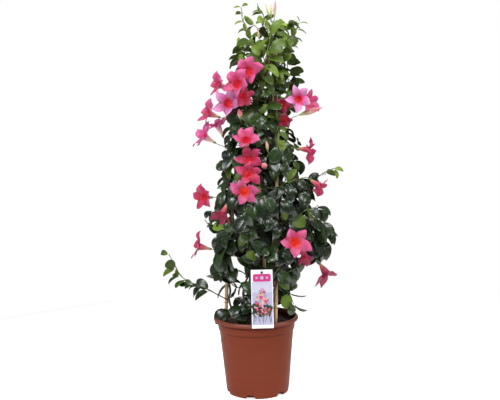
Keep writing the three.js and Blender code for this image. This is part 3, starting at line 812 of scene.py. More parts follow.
for name in ("cane_left", "cane_front", "cane_back"):
    line = smooth_line(by_height(ring_centres(facets(name)[0], CANE_RADIUS, 6)), CANE_SPACING)
    run = np.arange(len(line)) * CANE_SPACING
    culm = Shape()
    thickness = 1.06 - 0.16 * run / run[-1] + joint_swell(run)
    add_tube(culm, line, CANE_RADIUS * thickness, 14)
    as_piece(name + "_culm", culm.mesh(name + "_culm", bamboo), "bamboo", name)

# %% [markdown]
# ## Tie
# A turn of paper twine holds the three heads together. Twine is two strands laid round each other, so it
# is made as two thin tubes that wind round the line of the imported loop.

# %% Twine
TWINE_DARK, TWINE = (0.10, 0.060, 0.028), (0.30, 0.20, 0.10)

twine, spot, surface = new_finish("twine", 0.85)
threads = clouds(stretched(surface, 9, 500, 1), 1.0, 4.0)
color_with(ramp(threads, (0.3, TWINE_DARK), (0.7, TWINE)))
relief(threads, 0.2 * MM)

# %% Two strands round the heads of the canes, and two tails
TIE_RADIUS, TIE_SPACING = 1.6 * MM, 1.2 * MM
STRAND_TWISTS, STRAND_RADIUS, STRAND_OFF, STRAND_SIDES = 26, 0.85 * MM, 0.75 * MM, 6
TAIL = np.array([(0, 0, 0), (5, -3, -5), (8, -4, -15)]) * MM

tie_rings = ring_centres(facets("cane_tie")[0], TIE_RADIUS, 4)
tie_middle = tie_rings.mean(axis=0)
tie_rings = tie_rings[np.argsort(np.arctan2(*(tie_rings - tie_middle)[:, :2].T))]
tie_line = smooth_line([*tie_rings, tie_rings[0]], TIE_SPACING)
_, tie_in, tie_up = frames_along(tie_line)
tie = Shape()
turn = np.linspace(0, 2 * math.pi * STRAND_TWISTS, len(tie_line))[:, None]
for start in (0, math.pi):
    strand = tie_line + STRAND_OFF * (np.cos(turn + start) * tie_in + np.sin(turn + start) * tie_up)
    add_tube(tie, strand, STRAND_RADIUS, STRAND_SIDES)
for lean in (-1, 1):
    add_tube(tie, smooth_line(tie_line[0] + TAIL * (lean, 1, 1), 1.5 * MM), 0.9 * MM, STRAND_SIDES)
as_piece("tie_twine", tie.mesh("tie_twine", twine), "tie", "cane_tie")

# %% [markdown]
# ## Label
# Growers hang a picture label in front of the plant: a card of thin plastic with a hole near its top, on a
# hooked black stake. The card here shows a made-up posy: a pink band, a pale lilac sky, and blossoms over
# leaves. Each printed area is a flat curve cut to shape, standing a hair's breadth proud of the face.

# %% Label finishes


def plain_print(name, color):
    """Printed plastic: one ink, a little uneven, under a smooth face."""
    material, spot, surface = new_finish(name, 0.32)
    uneven = clouds(spot, 500.0, 3.0)
    darker = tuple(0.82 * part for part in color)
    color_with(ramp(uneven, (0.3, darker), (0.7, color)))
    relief(uneven, 0.01 * MM)
    return material


LABEL_INKS = {
    "card": (0.84, 0.83, 0.87), "band": (0.55, 0.030, 0.20), "sky": (0.40, 0.38, 0.52),
    "mist": (0.52, 0.50, 0.62), "leaf": (0.012, 0.026, 0.010), "leaf_pale": (0.060, 0.11, 0.030),
    "blossom": (0.55, 0.050, 0.13), "blossom_pale": (0.74, 0.30, 0.38), "heart": (0.75, 0.45, 0.12),
    "peach": (0.70, 0.42, 0.28), "straw": (0.62, 0.46, 0.20), "violet": (0.30, 0.28, 0.52),
    "grass": (0.020, 0.026, 0.018),
}
label_inks = {ink: plain_print("label_" + ink, color) for ink, color in LABEL_INKS.items()}

BLACK_WORN, BLACK_DEEP = (0.022, 0.021, 0.020), (0.008, 0.008, 0.009)
black_plastic, spot, surface = new_finish("black_plastic", 0.38)
wear = clouds(spot, 220.0, 4.0)
color_with(ramp(wear, (0.35, BLACK_DEEP), (0.75, BLACK_WORN)))
relief(clouds(spot, 1500.0), 0.03 * MM)

# %% Outlines, in mm on the card, whose top middle is at (0, 0)


def round_outline(width, height, corner, y):
    """A rectangle with round corners, on the card's middle line."""
    points = []
    for turn, (sx, sy) in enumerate([(1, 1), (-1, 1), (-1, -1), (1, -1)]):
        for angle in np.linspace(0, math.pi / 2, 6):
            a = angle + turn * math.pi / 2
            points.append((
                sx * (width / 2 - corner) + corner * math.cos(a),
                y + sy * (height / 2 - corner) + corner * math.sin(a),
            ))
    return points


def circle_outline(radius, x, y, steps):
    angles = round_angles(steps)
    return [(x + radius * math.cos(a), y + radius * math.sin(a)) for a in angles]


def petal_outline(x, y, size, turn, slimness=0.62, steps=7):
    """A pointed oval from (x, y) outwards."""
    points = []
    for t in np.linspace(0, math.pi, steps):
        points.append((size * (1 - math.cos(t)) / 2, size * slimness / 2 * math.sin(t) ** 1.3))
    outline = points + [(px, -py) for px, py in points[-2:0:-1]]
    c, s = math.cos(turn), math.sin(turn)
    return [(x + c * px - s * py, y + s * px + c * py) for px, py in outline]


# %% Cutting flat shapes
LABEL_WIDTH, LABEL_HEIGHT, LABEL_THICKNESS = 59, 160, 0.8
LABEL_TOP, LABEL_LEAN = Vector((17, -118, 371)) * MM, math.radians(3)
SEAM = 0.001  # corners nearer than this are one

label_place = (
    Matrix.Translation(LABEL_TOP) @ Matrix.Rotation(math.pi / 2 - LABEL_LEAN, 4, "X") @ Matrix.Scale(MM, 4)
)


def closed(mesh):
    """A mesh with its seams joined and its faces turned outwards."""
    whole = bmesh.new()
    whole.from_mesh(mesh)
    bmesh.ops.remove_doubles(whole, verts=whole.verts, dist=SEAM)
    bmesh.ops.recalc_face_normals(whole, faces=whole.faces)
    whole.to_mesh(mesh)
    whole.free()


def cut_sheet(name, outlines, thickness, height, material, edge=0.0):
    """Flat outlines cut from a sheet whose face is at a height. Inner ones are holes."""
    curve = bpy.data.curves.new(name, "CURVE")
    curve.dimensions, curve.fill_mode = "2D", "BOTH"
    curve.extrude, curve.bevel_depth, curve.bevel_resolution = thickness / 2 - edge, edge, 1
    curve.offset = -edge
    for outline in outlines:
        spline = curve.splines.new("POLY")
        spline.points.add(len(outline) - 1)
        spline.points.foreach_set("co", [number for x, y in outline for number in (x, y, 0, 1)])
        spline.use_cyclic_u = True
    made = plain_mesh(in_scene(name, curve), name)
    closed(made)
    made.shade_flat()
    made.transform(label_place @ Matrix.Translation((0, 0, height - thickness / 2)))
    made.materials.clear()
    made.materials.append(material)
    return made


# %% The card
HOLE_RADIUS, HOLE_DOWN, CARD_CORNER, CARD_EDGE = 3.4, 8, 1.6, 0.12
card_outline = round_outline(LABEL_WIDTH, LABEL_HEIGHT, CARD_CORNER, -LABEL_HEIGHT / 2)
card_hole = circle_outline(HOLE_RADIUS, 0, -HOLE_DOWN, 20)
card_mesh = cut_sheet(
    "label_card_sheet", [card_outline, card_hole],
    LABEL_THICKNESS, LABEL_THICKNESS / 2, label_inks["card"], CARD_EDGE,
)
as_piece("label_card_sheet", card_mesh, "label_card", "label_card")

# %% Printing on the card, in layers
PRINT_THICKNESS, LAYER = 0.3, 0.06
rng = np.random.default_rng(21)
prints = []


def print_on(name, ink, outline, layer):
    """One printed area, which stands a layer or more proud of the card."""
    face = LABEL_THICKNESS / 2 + LAYER * layer
    prints.append(cut_sheet(name, [outline], PRINT_THICKNESS, face, label_inks[ink]))


def blossom(x, y, size, ink, layer):
    """Five petals round a small heart."""
    turn = rng.uniform(0, FULL_TURN)
    for petal in range(5):
        print_on("petal", ink, petal_outline(x, y, size, turn + petal * 2 * math.pi / 5, 0.85), layer)
    print_on("heart", "heart", circle_outline(size * 0.2, x, y, 8), layer + 1)


print_on("sky", "sky", round_outline(55, 118, 2, -92), 1)
print_on("mist", "mist", round_outline(55, 30, 2, -47), 2)
print_on("band", "band", round_outline(49, 21, 5, -22), 2)
for x, size in ((-14, 3.6), (0, 5.4), (14, 3.6)):
    blossom(x, -22, size, "mist", 3)
print("printed areas:", len(prints))

# %% A thicket along the foot of the sky, and a pyramid of mixed blossoms that rises out of its middle
for i in range(110):
    x, y = rng.uniform(-24, 24), rng.uniform(-126, -96)
    leaf = petal_outline(x, y, rng.uniform(6, 11), rng.uniform(0, FULL_TURN))
    print_on("leaf", "leaf" if i % 5 else "leaf_pale", leaf, 2 + i % 3)

PYRAMID = [
    (0, -52, 4.5, "blossom_pale"), (-5, -59, 5.0, "violet"), (5, -61, 5.0, "blossom"), (0, -67, 5.0, "straw"),
    (-8, -69, 5.0, "blossom_pale"), (8, -71, 5.0, "violet"), (-3, -76, 5.5, "blossom"),
    (12, -79, 4.5, "peach"), (4, -79, 5.0, "blossom_pale"), (-12, -80, 5.0, "peach"),
    (-7, -86, 5.5, "violet"), (9, -88, 5.5, "blossom"), (1, -89, 5.5, "peach"), (-15, -91, 5.0, "blossom"),
    (16, -90, 5.0, "violet"), (-5, -95, 5.0, "blossom_pale"),
]
for x, y, size, ink in PYRAMID:
    print_on("leaf", "leaf", petal_outline(x, y, size * 1.5, rng.uniform(0, FULL_TURN)), 2)
    blossom(x, y, size, ink, 4 + round(-y) % 3)
print("printed areas:", len(prints))

# %% Small blossoms in the thicket, and blades of grass in front
GRASS_AT = (-22, -17, -12, -3, 4, 13, 18, 23)
for i in range(20):
    x, y = rng.uniform(-21, 21), rng.uniform(-123, -98)
    blossom(x, y, rng.uniform(2.2, 3.6), "blossom" if i % 3 else "blossom_pale", 6 + i % 3)
for x in GRASS_AT:
    size, lean = rng.uniform(16, 27), rng.uniform(-0.35, 0.35)
    print_on("blade", "grass", petal_outline(x, -126, size, -math.pi / 2 + lean, 0.08), 2)


def joined(name, meshes):
    """Several meshes as one, each keeping its materials."""
    carriers = [in_scene(name, mesh) for mesh in meshes]
    with bpy.context.temp_override(active_object=carriers[0], selected_editable_objects=carriers):
        bpy.ops.object.join()
    made = carriers[0].data
    bpy.data.objects.remove(carriers[0])
    made.name = name
    return made


as_piece("label_print", joined("label_print", prints), "label_card", "label_card")

# %% The hooked stake
STAKE_RADIUS = 1.9 * MM
stake_rings = ring_centres(facets("label_stake")[0], STAKE_RADIUS, 4)
lowest_ring = stake_rings[np.argmin(stake_rings[:, 2])]
stake = Shape()
add_tube(stake, smooth_line(chained(stake_rings, lowest_ring), 2.5 * MM), STAKE_RADIUS, 12)
as_piece("label_stake_rod", stake.mesh("label_stake_rod", black_plastic), "label_stake", "label_stake")

# %% [markdown]
# ## Twigs
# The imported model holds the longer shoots. A plant of this age also has short twigs between them, each with
# two pairs of leaves, and they close the gaps. A twig is tried at many places along the stems. It is kept
# where its leaves find room: not against other leaves, not outside the body of the plant, and not in front
# of a flower or the label. The widest gaps are filled first.

# %% The body of the plant: where its middle is, and how far it reaches, by height
BODY = np.array([  # height, how far right of the pot's axis the middle is, and the reach, in mm
    (225, -6, 98), (248, -6, 102), (277, -7, 109), (323, 2, 125), (369, 22, 130), (415, 50, 160),
    (461, 51, 171), (507, 45, 169), (552, 42, 148), (597, 29, 131), (642, 26, 108), (686, 35, 104),
    (731, 33, 92), (775, 26, 81), (819, 34, 76), (864, 49, 79), (908, 37, 83), (952, 44, 97),
    (996, 46, 87), (1039, 48, 63), (1075, 48, 30),
]) * MM


def body_at(z):
    """The body's middle and its reach at heights."""
    middle = np.stack([np.interp(z, BODY[:, 0], BODY[:, 1]), 0 * z, z], axis=-1)
    return middle, np.interp(z, BODY[:, 0], BODY[:, 2])


def outward_from(points):
    """How each point lies from the body's middle: a level vector."""
    middle, _ = body_at(points[..., 2])
    return points - middle


# %% Where each flower is, and which way it looks
LOBES = 5
FLOWER_LIPS = 2 * LOBES  # corners round the middle of a packed flower: its lobes' tips and those between


def read_flower(node):
    """The mouth, face, radius and first lobe of a packed flower, and the rings of its stalk."""
    corners, triangles = facets(node)
    near = neighbours(triangles)
    wide = [i for i in near if len(near[i]) == FLOWER_LIPS]

    def unevenness(i):
        away = np.sort(size_of(corners[list(near[i])] - corners[i]))
        return np.ptp(away[:LOBES]) + np.ptp(away[LOBES:])

    centre = min(wide, key=unevenness)
    lips = corners[list(near[centre])]
    away = size_of(lips - corners[centre])
    tips = lips[np.argsort(away)[-LOBES:]]
    mouth = tips.mean(axis=0)
    face = unit(mouth - corners[centre])
    rings = ring_centres(corners, STALK_RADIUS, 3)
    return mouth, face, size_of(tips - mouth).mean(), unit(tips[0] - mouth), rings


flowers = {name: read_flower(name) for name in sorted(frame["nodes"]) if name.startswith("flower_")}
print("flowers:", len(flowers))

# %% Where the buds are
BUD_RING, SLIMMEST_BUD = 5, 2 * MM  # corners round each end of a packed bud


def read_buds(node):
    """The tip, way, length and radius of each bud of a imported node, and the rings of its stalks."""
    corners, triangles = facets(node)
    near = neighbours(triangles)
    found = []
    for i, around in near.items():
        ring = corners[list(around)]
        away = size_of(ring - corners[i])
        if len(around) == BUD_RING and np.ptp(away) < CLOSE:
            middle = ring.mean(axis=0)
            rise, wide = size_of(corners[i] - middle), size_of(ring - middle)
            if np.ptp(wide) < CLOSE and wide[0] > SLIMMEST_BUD:
                # this ring is the one at 45 degrees round the oval
                length = rise / (1 - math.sqrt(0.5)) * 2
                found.append((corners[i], unit(corners[i] - middle), length, wide[0] * math.sqrt(2)))
    return found, ring_centres(corners, STALK_RADIUS, 3)


buds = {name: read_buds(name) for name in sorted(frame["nodes"]) if name.startswith("bud")}

# %% Places where one sees through the plant, and places where its newest leaves are
OPEN_PLACES = np.array([  # x, z and radius
    (72, 1010, 6), (82, 985, 6), (-4, 1000, 4), (60, 1035, 7), (20, 880, 5), (66, 905, 5), (88, 940, 5),
    (14, 386, 14), (-26, 352, 10), (-27, 318, 12), (-30, 284, 12), (-76, 262, 9), (-76, 284, 8),
    (42, 787, 7), (39, 757, 6), (145, 323, 23), (150, 280, 25), (175, 265, 22), (-60, 271, 9),
    (-95, 300, 13), (129, 535, 7), (102, 564, 6), (-104, 694, 11), (-84, 705, 10), (128, 337, 13),
    (-60, 300, 7), (-62, 330, 6),
]) * MM
FRESH_PLACES = np.array([  # x and z
    (125, 501), (84, 496), (-32, 416), (-13, 441), (80, 291), (17, 810), (34, 812), (94, 724), (120, 697),
    (75, 714), (110, 713), (144, 637), (33, 929), (-28, 619), (-4, 597), (67, 617), (-74, 626), (-60, 642),
    (-88, 478), (29, 828), (69, 840), (51, 849), (94, 308), (112, 708), (86, 738),
]) * MM

# %% What the leaves keep clear of: flowers and buds, with what is in front of them, and the label
FLOWER_CLEAR, FLOWER_VIEW, FLOWER_MARGIN, BUD_MARGIN = 12 * MM, 130 * MM, 10 * MM, 13 * MM
FLOWER_DEPTH, SEEN_DEPTH, TUBE_FROM = 10 * MM, 6 * MM, 8 * MM
LABEL_CLEAR = np.array([(-24, -400, 195), (58, -92, 385)]) * MM
TUBE_CLEAR = np.array([(-52, 0), (-46, 5), (-30, 9), (-10, 19)]) * MM  # behind the mouth, how wide
FLOWERS_BEHIND = ("flower_23", "flower_24")  # leaves grow across these two
BUD_SHARES = (0.1, 0.5, 0.9)  # places along a bud

clear_flowers = [flower for name, flower in flowers.items() if name not in FLOWERS_BEHIND]
mouths, faces_out, flower_radii = (np.array([flower[i] for flower in clear_flowers]) for i in range(3))
seen_buds = [
    tip - way * length * share for tips, _ in buds.values() for tip, way, length, _ in tips
    for share in BUD_SHARES
]
seen_places = np.vstack([mouths, seen_buds])
seen_reach = np.append(flower_radii + FLOWER_MARGIN, np.full(len(seen_buds), BUD_MARGIN))


def in_the_way(points):
    """Whether each point would hide or touch a flower or the label, or close an open place."""
    offset = points[:, None] - mouths[None]
    ahead = (offset * faces_out[None]).sum(axis=-1)
    aside = size_of(offset - ahead[..., None] * faces_out[None])
    ahead_too = (ahead > -FLOWER_DEPTH) & (ahead < FLOWER_VIEW) & (aside < flower_radii + FLOWER_CLEAR)
    offset = points[:, None] - seen_places[None]
    to_camera = unit(np.array(CAMERA_PLACE) - seen_places)
    nearer = (offset * to_camera[None]).sum(axis=-1)
    beside = size_of(offset - nearer[..., None] * to_camera[None])
    hides = (nearer > -SEEN_DEPTH) & (beside < seen_reach)
    in_tube = (ahead <= -TUBE_FROM) & (aside < np.interp(ahead, *TUBE_CLEAR.T))
    in_label = ((points > LABEL_CLEAR[0]) & (points < LABEL_CLEAR[1])).all(axis=1)
    away = size_of(points[:, None, [0, 2]] - OPEN_PLACES[None, :, :2])
    in_open = (away < OPEN_PLACES[:, 2]).any(axis=1)
    return (ahead_too | in_tube).any(axis=1) | hides.any(axis=1) | in_label | in_open


def points_over(base, way, face, length):
    """Points all over a leaf: down its middle and out to both edges."""
    side = np.cross(face, way) * length
    long = way * length
    return base + np.array([long * 0.3, long * 0.6, long]
                           + [long * at + side * out for at in (0.35, 0.7) for out in (-0.3, 0.3)])


# %% How leaves hang and turn to the light
UP = np.array((0, 0, 1.0))
WINDOW = np.array((-0.1, -1.0, 0))  # the plant has grown with its front to the light
# how far back a leaf is, and how much it turns to that light
WINDOW_SHARE = np.array([(-0.5, 0.62), (0.0, 0.72), (0.7, 0.25)])
UP_SHARE, OUT_SHARE, OWN_WAY = 0.28, 0.40, 0.25  # how much it turns up, outwards, and its own way
SPREAD = np.array((1, 0.55, 1))  # so its leaves stand more across that light than along it
# height, and how far a leaf turns down
HANG = np.array([(0.2, 0.35), (0.33, 0.60), (0.65, 0.68), (0.82, 0.35), (0.97, 0.06)])
HANG_SHARE = np.array([(0.2, 0.8), (0.4, 1.0), (0.72, 1.0), (0.88, 0.25)])  # height, how much of all this
OUTERMOST = 1.08  # how far out of the body a leaf may reach


def leaf_like(base, way, face, length):
    way = unit(way)
    return base, way, unit(face - way * (face @ way)), length


def middle_of(leaf):
    base, way, _, length = leaf
    return base + way * length * 0.56


def hung(leaf, share, rng):
    """A leaf lowered by its weight and turned outwards. None without room."""
    base, way, face, length = leaf
    way = unit(way * SPREAD)
    share = share * np.interp(base[2], *HANG_SHARE.T)
    pull = min(0.9, np.interp(base[2], *HANG.T) * rng.uniform(0.7, 1.3)) * share
    outward = unit(outward_from(base) + UP * 1e-6)
    window_share = np.interp(outward[1], *WINDOW_SHARE.T)
    to_light = UP * UP_SHARE + WINDOW * window_share + outward * OUT_SHARE
    lifted = face * (1 - 0.5 * share) + (to_light + rng.normal(0, OWN_WAY, 3)) * share
    hanging = way * (1 - pull) + (0.15 * outward - UP) * pull
    for turned in (hanging, way, way + UP, way + outward, *rng.normal(0, 1, (6, 3))):
        seat = leaf_like(base, turned, lifted, length)
        reach = size_of(outward_from(base + seat[1] * length))
        inside = share < 1 or reach < OUTERMOST * body_at(base[2])[1]
        if inside and not in_the_way(points_over(*seat)).any():
            return seat
    return None


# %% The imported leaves, hung
SPRIGS, SPRIG_HANG = ("shoot_right", "shoot_trailing_left"), 0.1  # long shoots that stand out of the plant
ON_EDGE, STEEP = ("shoot_low_right",), -0.8  # its leaves stand on edge, but for those that hang steeply

for name in leafy_nodes:
    rng = np.random.default_rng(len(name) + len(leaves_of[name]))
    share = SPRIG_HANG if name in SPRIGS else 1.0
    seated = [hung(leaf, share, rng) for leaf in leaves_of[name]]
    if name in SPRIGS:  # sparse, with each leaf turned its own way
        seated = [
            leaf and leaf_like(
                leaf[0], leaf[1] + rng.normal(0, 0.35, 3), leaf[2] + 0.6 * WINDOW, leaf[3]
            )
            for leaf in seated if rng.uniform() > 0.15
        ]
    if name in ON_EDGE:
        seated = [
            leaf_like(base, way * SPREAD, WINDOW if way[2] < STEEP else np.cross(way, WINDOW), length)
            for base, way, _, length in leaves_of[name]
        ]
    leaves_of[name] = [leaf for leaf in seated if leaf is not None]
print("leaves of the packed model:", sum(map(len, leaves_of.values())))

# %% A twig and its leaves
TWIG_LENGTHS, TWIG_LEAF = (26 * MM, 56 * MM), 53 * MM
LEAF_SIZE = np.array([(0.25, 1.12), (0.55, 1.0), (0.80, 0.80), (1.0, 0.76)])  # height, size as a share


def twig_from(start, rng):
    """The line of a twig, and its leaves."""
    out = outward_from(start)
    out = unit(out) if size_of(out) > 5 * MM else np.array((0, -1.0, 0))
    turn = np.array(Matrix.Rotation(rng.normal(0, 0.9), 3, "Z"))
    way = unit(turn @ out + UP * rng.uniform(-0.15, 0.8))
    length = rng.uniform(*TWIG_LENGTHS)
    end = start + way * length + UP * length * rng.uniform(-0.1, 0.25)
    line = smooth_line([start, start + way * length * 0.5, end], LINE_SPACING)
    size = np.interp(start[2], *LEAF_SIZE.T) * TWIG_LEAF
    leaves = []
    for share, young in ((0.5, 1.0), (1.0, rng.uniform(0.75, 0.95))):
        base = line[int(share * (len(line) - 1))]
        side = unit(np.cross(way, out + UP * 0.01 + rng.normal(0, 0.25, 3)))
        side = np.array(Matrix.Rotation(rng.uniform(-0.5, 0.5) + share * 1.2, 3, Vector(way))) @ side
        for sign in (1, -1):
            leaf_way = sign * side * 0.8 + way * rng.uniform(0.25, 0.6) + out * rng.uniform(0.1, 0.4)
            leaf_face = out * 0.8 + UP * rng.uniform(0.2, 0.9) + rng.normal(0, 0.2, 3)
            leaf = leaf_like(base, leaf_way, leaf_face, size * young * rng.uniform(0.8, 1.12))
            leaves.append(hung(leaf, 1.0, rng))
    return line, [leaf for leaf in leaves if leaf is not None]


# %% Where a leaf has room
CLOSER_ABOVE = np.array([(0.55, 1.0), (0.72, 0.80), (1.0, 0.80)])  # height, and the gap there as a share


def has_room(leaf, middles, faces, gap):
    """Whether a leaf's middle lies clear of the others, beside them or above or below."""
    offset = middles - middle_of(leaf)
    between = np.maximum(abs(offset @ leaf[2]), abs((offset * faces).sum(axis=1)))
    beside = np.sqrt(np.maximum(0, (offset**2).sum(axis=1) - between**2))
    return ((beside > gap) | (between > gap * 0.75)).all()


seated = [leaf for leaves in leaves_of.values() for leaf in leaves]
leaf_middles = np.array([middle_of(leaf) for leaf in seated])
leaf_faces = np.array([leaf[2] for leaf in seated])
starts = [
    (name, point)
    for name in leafy_nodes
    for line in shoots_of[name] + ([vine_lines[name]] if name in VINES else [])
    for point in line[2::3]
]
print("places to try a twig at:", len(starts))

# %% Twigs where there is room
LEAF_LIMIT = 1560
LOWEST_TWIG, LOWEST_LEAF = 225 * MM, 228 * MM
LOW_TWIGS, HIGH_TWIGS = 380 * MM, 900 * MM
ROUNDS = [  # gap, how far out, and from what height
    (36 * MM, 1.0, 0), (32 * MM, 1.0, 0), (29 * MM, 1.0, 0), (26 * MM, 1.0, 0), (22 * MM, 0.62, 0),
    (20 * MM, 1.0, 0.66),
]
rng = np.random.default_rng(5)
twigs_of = {name: [] for name in leafy_nodes}
for gap, outermost, lowest in ROUNDS:
    for i in rng.permutation(len(starts)):
        if len(leaf_middles) >= LEAF_LIMIT:
            break
        name, start = starts[i]
        if start[2] < max(lowest, LOWEST_TWIG):
            continue
        if (start[2] < LOW_TWIGS or start[2] > HIGH_TWIGS) and rng.uniform() < 0.5:
            continue
        line, leaves = twig_from(start, rng)
        gap_here = gap * np.interp(start[2], *CLOSER_ABOVE.T)
        kept = []
        for leaf in leaves:
            tip = leaf[0] + leaf[1] * leaf[3]
            inside = size_of(outward_from(tip)) < body_at(tip[2])[1] * outermost and tip[2] > LOWEST_LEAF
            if inside and has_room(leaf, leaf_middles, leaf_faces, gap_here):
                kept.append(leaf)
        if len(kept) >= 2:
            twigs_of[name].append(line)
            leaves_of[name] += kept
            leaf_middles = np.vstack([leaf_middles, [middle_of(leaf) for leaf in kept]])
            leaf_faces = np.vstack([leaf_faces, [leaf[2] for leaf in kept]])
    print(f"gaps over {gap * 1000:.0f} mm closed: {len(leaf_middles)} leaves")

# %% Stalks for the leaves that stand off their stem
JOINED = 4.5 * MM
for name in leafy_nodes:
    lines = shoots_of[name] + twigs_of[name] + ([vine_lines[name]] if name in VINES else [])
    on_lines = np.vstack(lines)
    for foot in {tuple(leaf[0]) for leaf in leaves_of[name]}:
        away = size_of(on_lines - foot)
        if away.min() > JOINED:
            twigs_of[name].append(smooth_line([on_lines[away.argmin()], np.array(foot)], LINE_SPACING))
            print(f"{name}: a stalk of {away.min() * 1000:.0f} mm to a pair of leaves")

# %% [markdown]
# ## Stems
# A mandevilla's stem starts woody and brown at the soil and turns green, thin and supple towards its tip.
# At each pair of leaves it swells into a joint. Every stem is a tube along its line, as thick at each point
# as its age there says, and the same number drives its colour.

# %% Stem finish
WOOD_DARK, WOOD, STEM_GREEN, STEM_YOUNG = (
    (0.030, 0.017, 0.010), (0.085, 0.048, 0.028), (0.055, 0.085, 0.022), (0.17, 0.24, 0.055)
)

stem_skin, spot, surface = new_finish("stem_skin", 0.5)
youth = number_of("youth")
bark_grain = clouds(stretched(surface, 6, 160, 1), 1.0, 5.0, 0.65)
wood = ramp(bark_grain, (0.3, WOOD_DARK), (0.7, WOOD))
green = ramp(youth, (0.35, STEM_GREEN), (1.0, STEM_YOUNG))
color_with(mixed(spread(youth, 0.16, 0.38), wood, green))
relief(maths("MULTIPLY", bark_grain, spread(youth, 0.1, 0.5, 1.0, 0.2)), 0.5 * MM)
YOUTH_FROM, YOUTH_OVER = 0.20, 0.85


def youth_at(z):
    """0 where stems are old wood, 1 where they are new."""
    return np.clip((z - YOUTH_FROM) / YOUTH_OVER, 0, 1)


def write_numbers(mesh, name, values, domain="POINT"):
    mesh.attributes.new(name, "FLOAT", domain).data.foreach_set("value", np.asarray(values, np.float32))


# %% Stems of a node
VINE_THICK, VINE_THIN = 3.5 * MM, 1.2 * MM
SHOOT_THICK, TWIG_THICK, SHOOT_THIN = 1.9 * MM, 1.3 * MM, 0.9 * MM
SHOOT_YOUTH, TWIG_YOUTH = 0.25, 0.35  # how much younger they are than the vine beside them
JOINT_REACH, JOINT_SWELL = 5 * MM, 0.45
STEM_SIDES = 8


def leaf_swell(line, leaves):
    """How much thicker a stem is near the foot of a leaf, as a share."""
    bases = np.array([leaf[0] for leaf in leaves]).reshape(-1, 3)
    if not len(bases):
        return np.zeros(len(line))
    near = size_of(line[:, None] - bases[None]).min(axis=1)
    return JOINT_SWELL * np.exp(-((near / JOINT_REACH) ** 2))


def stems_of(name):
    """The mesh of all stems of a node, with how young they are at each point."""
    shape, youths = Shape(), []
    lines = [(line, SHOOT_THICK, SHOOT_THIN, SHOOT_YOUTH) for line in shoots_of[name]]
    lines += [(line, TWIG_THICK, SHOOT_THIN, TWIG_YOUTH) for line in twigs_of[name]]
    if name in VINES:
        lines.append((vine_lines[name], VINE_THICK, VINE_THIN, 0.0))
    for line, thick, thin, younger in lines:
        along = np.linspace(0, 1, len(line))
        radii = (thick + (thin - thick) * along**0.8) * (1 + leaf_swell(line, leaves_of[name]))
        add_tube(shape, line, radii, STEM_SIDES)
        youth = np.clip(youth_at(line[:, 2]) + younger * (0.3 + along), 0, 1)
        youths += [*np.repeat(youth, STEM_SIDES), youth[0], youth[-1]]
    mesh = shape.mesh(name + "_stems", stem_skin)
    write_numbers(mesh, "youth", youths)
    return mesh


for name in leafy_nodes:
    as_piece(name + "_stems", stems_of(name), "foliage", name)

# %% [markdown]
# ## Leaves
# The leaves sit in pairs. A grown leaf is a broad oval with a short point, leathery, deep green and glossy:
# each half is a soft dome beside a sunken midrib, so that it catches the light twice. New leaves are slim,
# matt and yellow-green. A few leaf shapes are modelled with fewer than sixty faces each. Geometry nodes then
# put one at the foot of each leaf, turned, sized and slightly warped, so that no two are quite alike.

# %% Leaf finishes
LEAF_OLD, LEAF_GROWN, LEAF_FRESH, LEAF_YOUNG = (
    (0.0050, 0.0130, 0.0028), (0.0180, 0.0400, 0.0052), (0.074, 0.114, 0.012), (0.155, 0.230, 0.026)
)
LEAF_PALE, VEIN_PALE = (0.16, 0.22, 0.10), (0.15, 0.21, 0.05)
VEINS, VEINS_LEAN, VEIN_WIDTH, RIB_WIDTH = 9.0, 7.0, 0.10, (0.012, 0.045)


def leaf_finish(name, roughness_old, roughness_young, paler, shine):
    """A leaf's skin on one side: its colour by age with painted shade, its midrib and side veins, and its
    gloss.
    """
    material, spot, surface = new_finish(name, roughness_old)
    age = number_of("youth")
    shade = number_of("shade")
    feed("Specular IOR Level", spread(age, 0.2, 0.6, shine, 0.3))
    across = maths("ABSOLUTE", maths("SUBTRACT", axis_of(surface, 1), 0.5))
    aged = nudged(age, clouds(spot, 60.0, 3.0), 0.12)
    tone = ramp(aged, (0.08, LEAF_OLD), (0.36, LEAF_GROWN), (0.62, LEAF_FRESH), (0.97, LEAF_YOUNG))
    tone = mixed(paler, tone, LEAF_PALE)
    # painted shade: leaves deep inside the plant come out darker; the rest is each leaf's random tone
    lit = put("ShaderNodeHueSaturation", {
        "Color": tone, "Value": spread(shade, 0.0, 1.0, 0.45, 1.45),
    }).outputs[0]
    out = maths("MULTIPLY", axis_of(surface, 0), VEINS)
    fan = maths("SUBTRACT", out, maths("MULTIPLY", across, VEINS_LEAN))
    vein = spread(maths("PINGPONG", fan, 0.5), 0.0, VEIN_WIDTH, 1.0, 0.0)
    middle_line = spread(across, *RIB_WIDTH, 1.0, 0.0)
    marked = maths("MAXIMUM", middle_line, maths("MULTIPLY", vein, 0.28))
    paleness = spread(age, 0.1, 0.7, 0.10, 0.40)
    color_with(mixed(maths("MULTIPLY", marked, paleness), lit, VEIN_PALE))
    height = maths(
        "SUBTRACT", maths("MULTIPLY", clouds(spot, 120.0, 1.0), 0.35),
        maths("MULTIPLY", marked, 0.9),
    )
    relief(height, 0.28 * MM)
    feed("Roughness", spread(age, 0.1, 0.9, roughness_old, roughness_young))
    return material


leaf_top = leaf_finish("leaf_top", 0.27, 0.48, 0.0, 0.62)
leaf_under = leaf_finish("leaf_under", 0.55, 0.60, 0.16, 0.4)

# %% The blade of a leaf, one unit long with its stalk
BLADE_START = 0.13  # share of the leaf's length that is its stalk
BLADE_ROWS = [0.0, 0.035, 0.12, 0.26, 0.44, 0.62, 0.79, 0.91, 1.0]
BLADE_OUTLINE = [0.0, 0.36, 0.68, 0.91, 1.0, 0.95, 0.76, 0.47, 0.0]
BLADE_COLUMNS = [-1.0, -0.52, 0.0, 0.52, 1.0]
BLADE_KEEL = 0.012  # how thick the blade is at its midrib


def midrib(x, arch, droop):
    """How high a leaf's midrib is at a place along it."""
    return arch * 4 * x * (1 - x) + droop * (x - x**3)


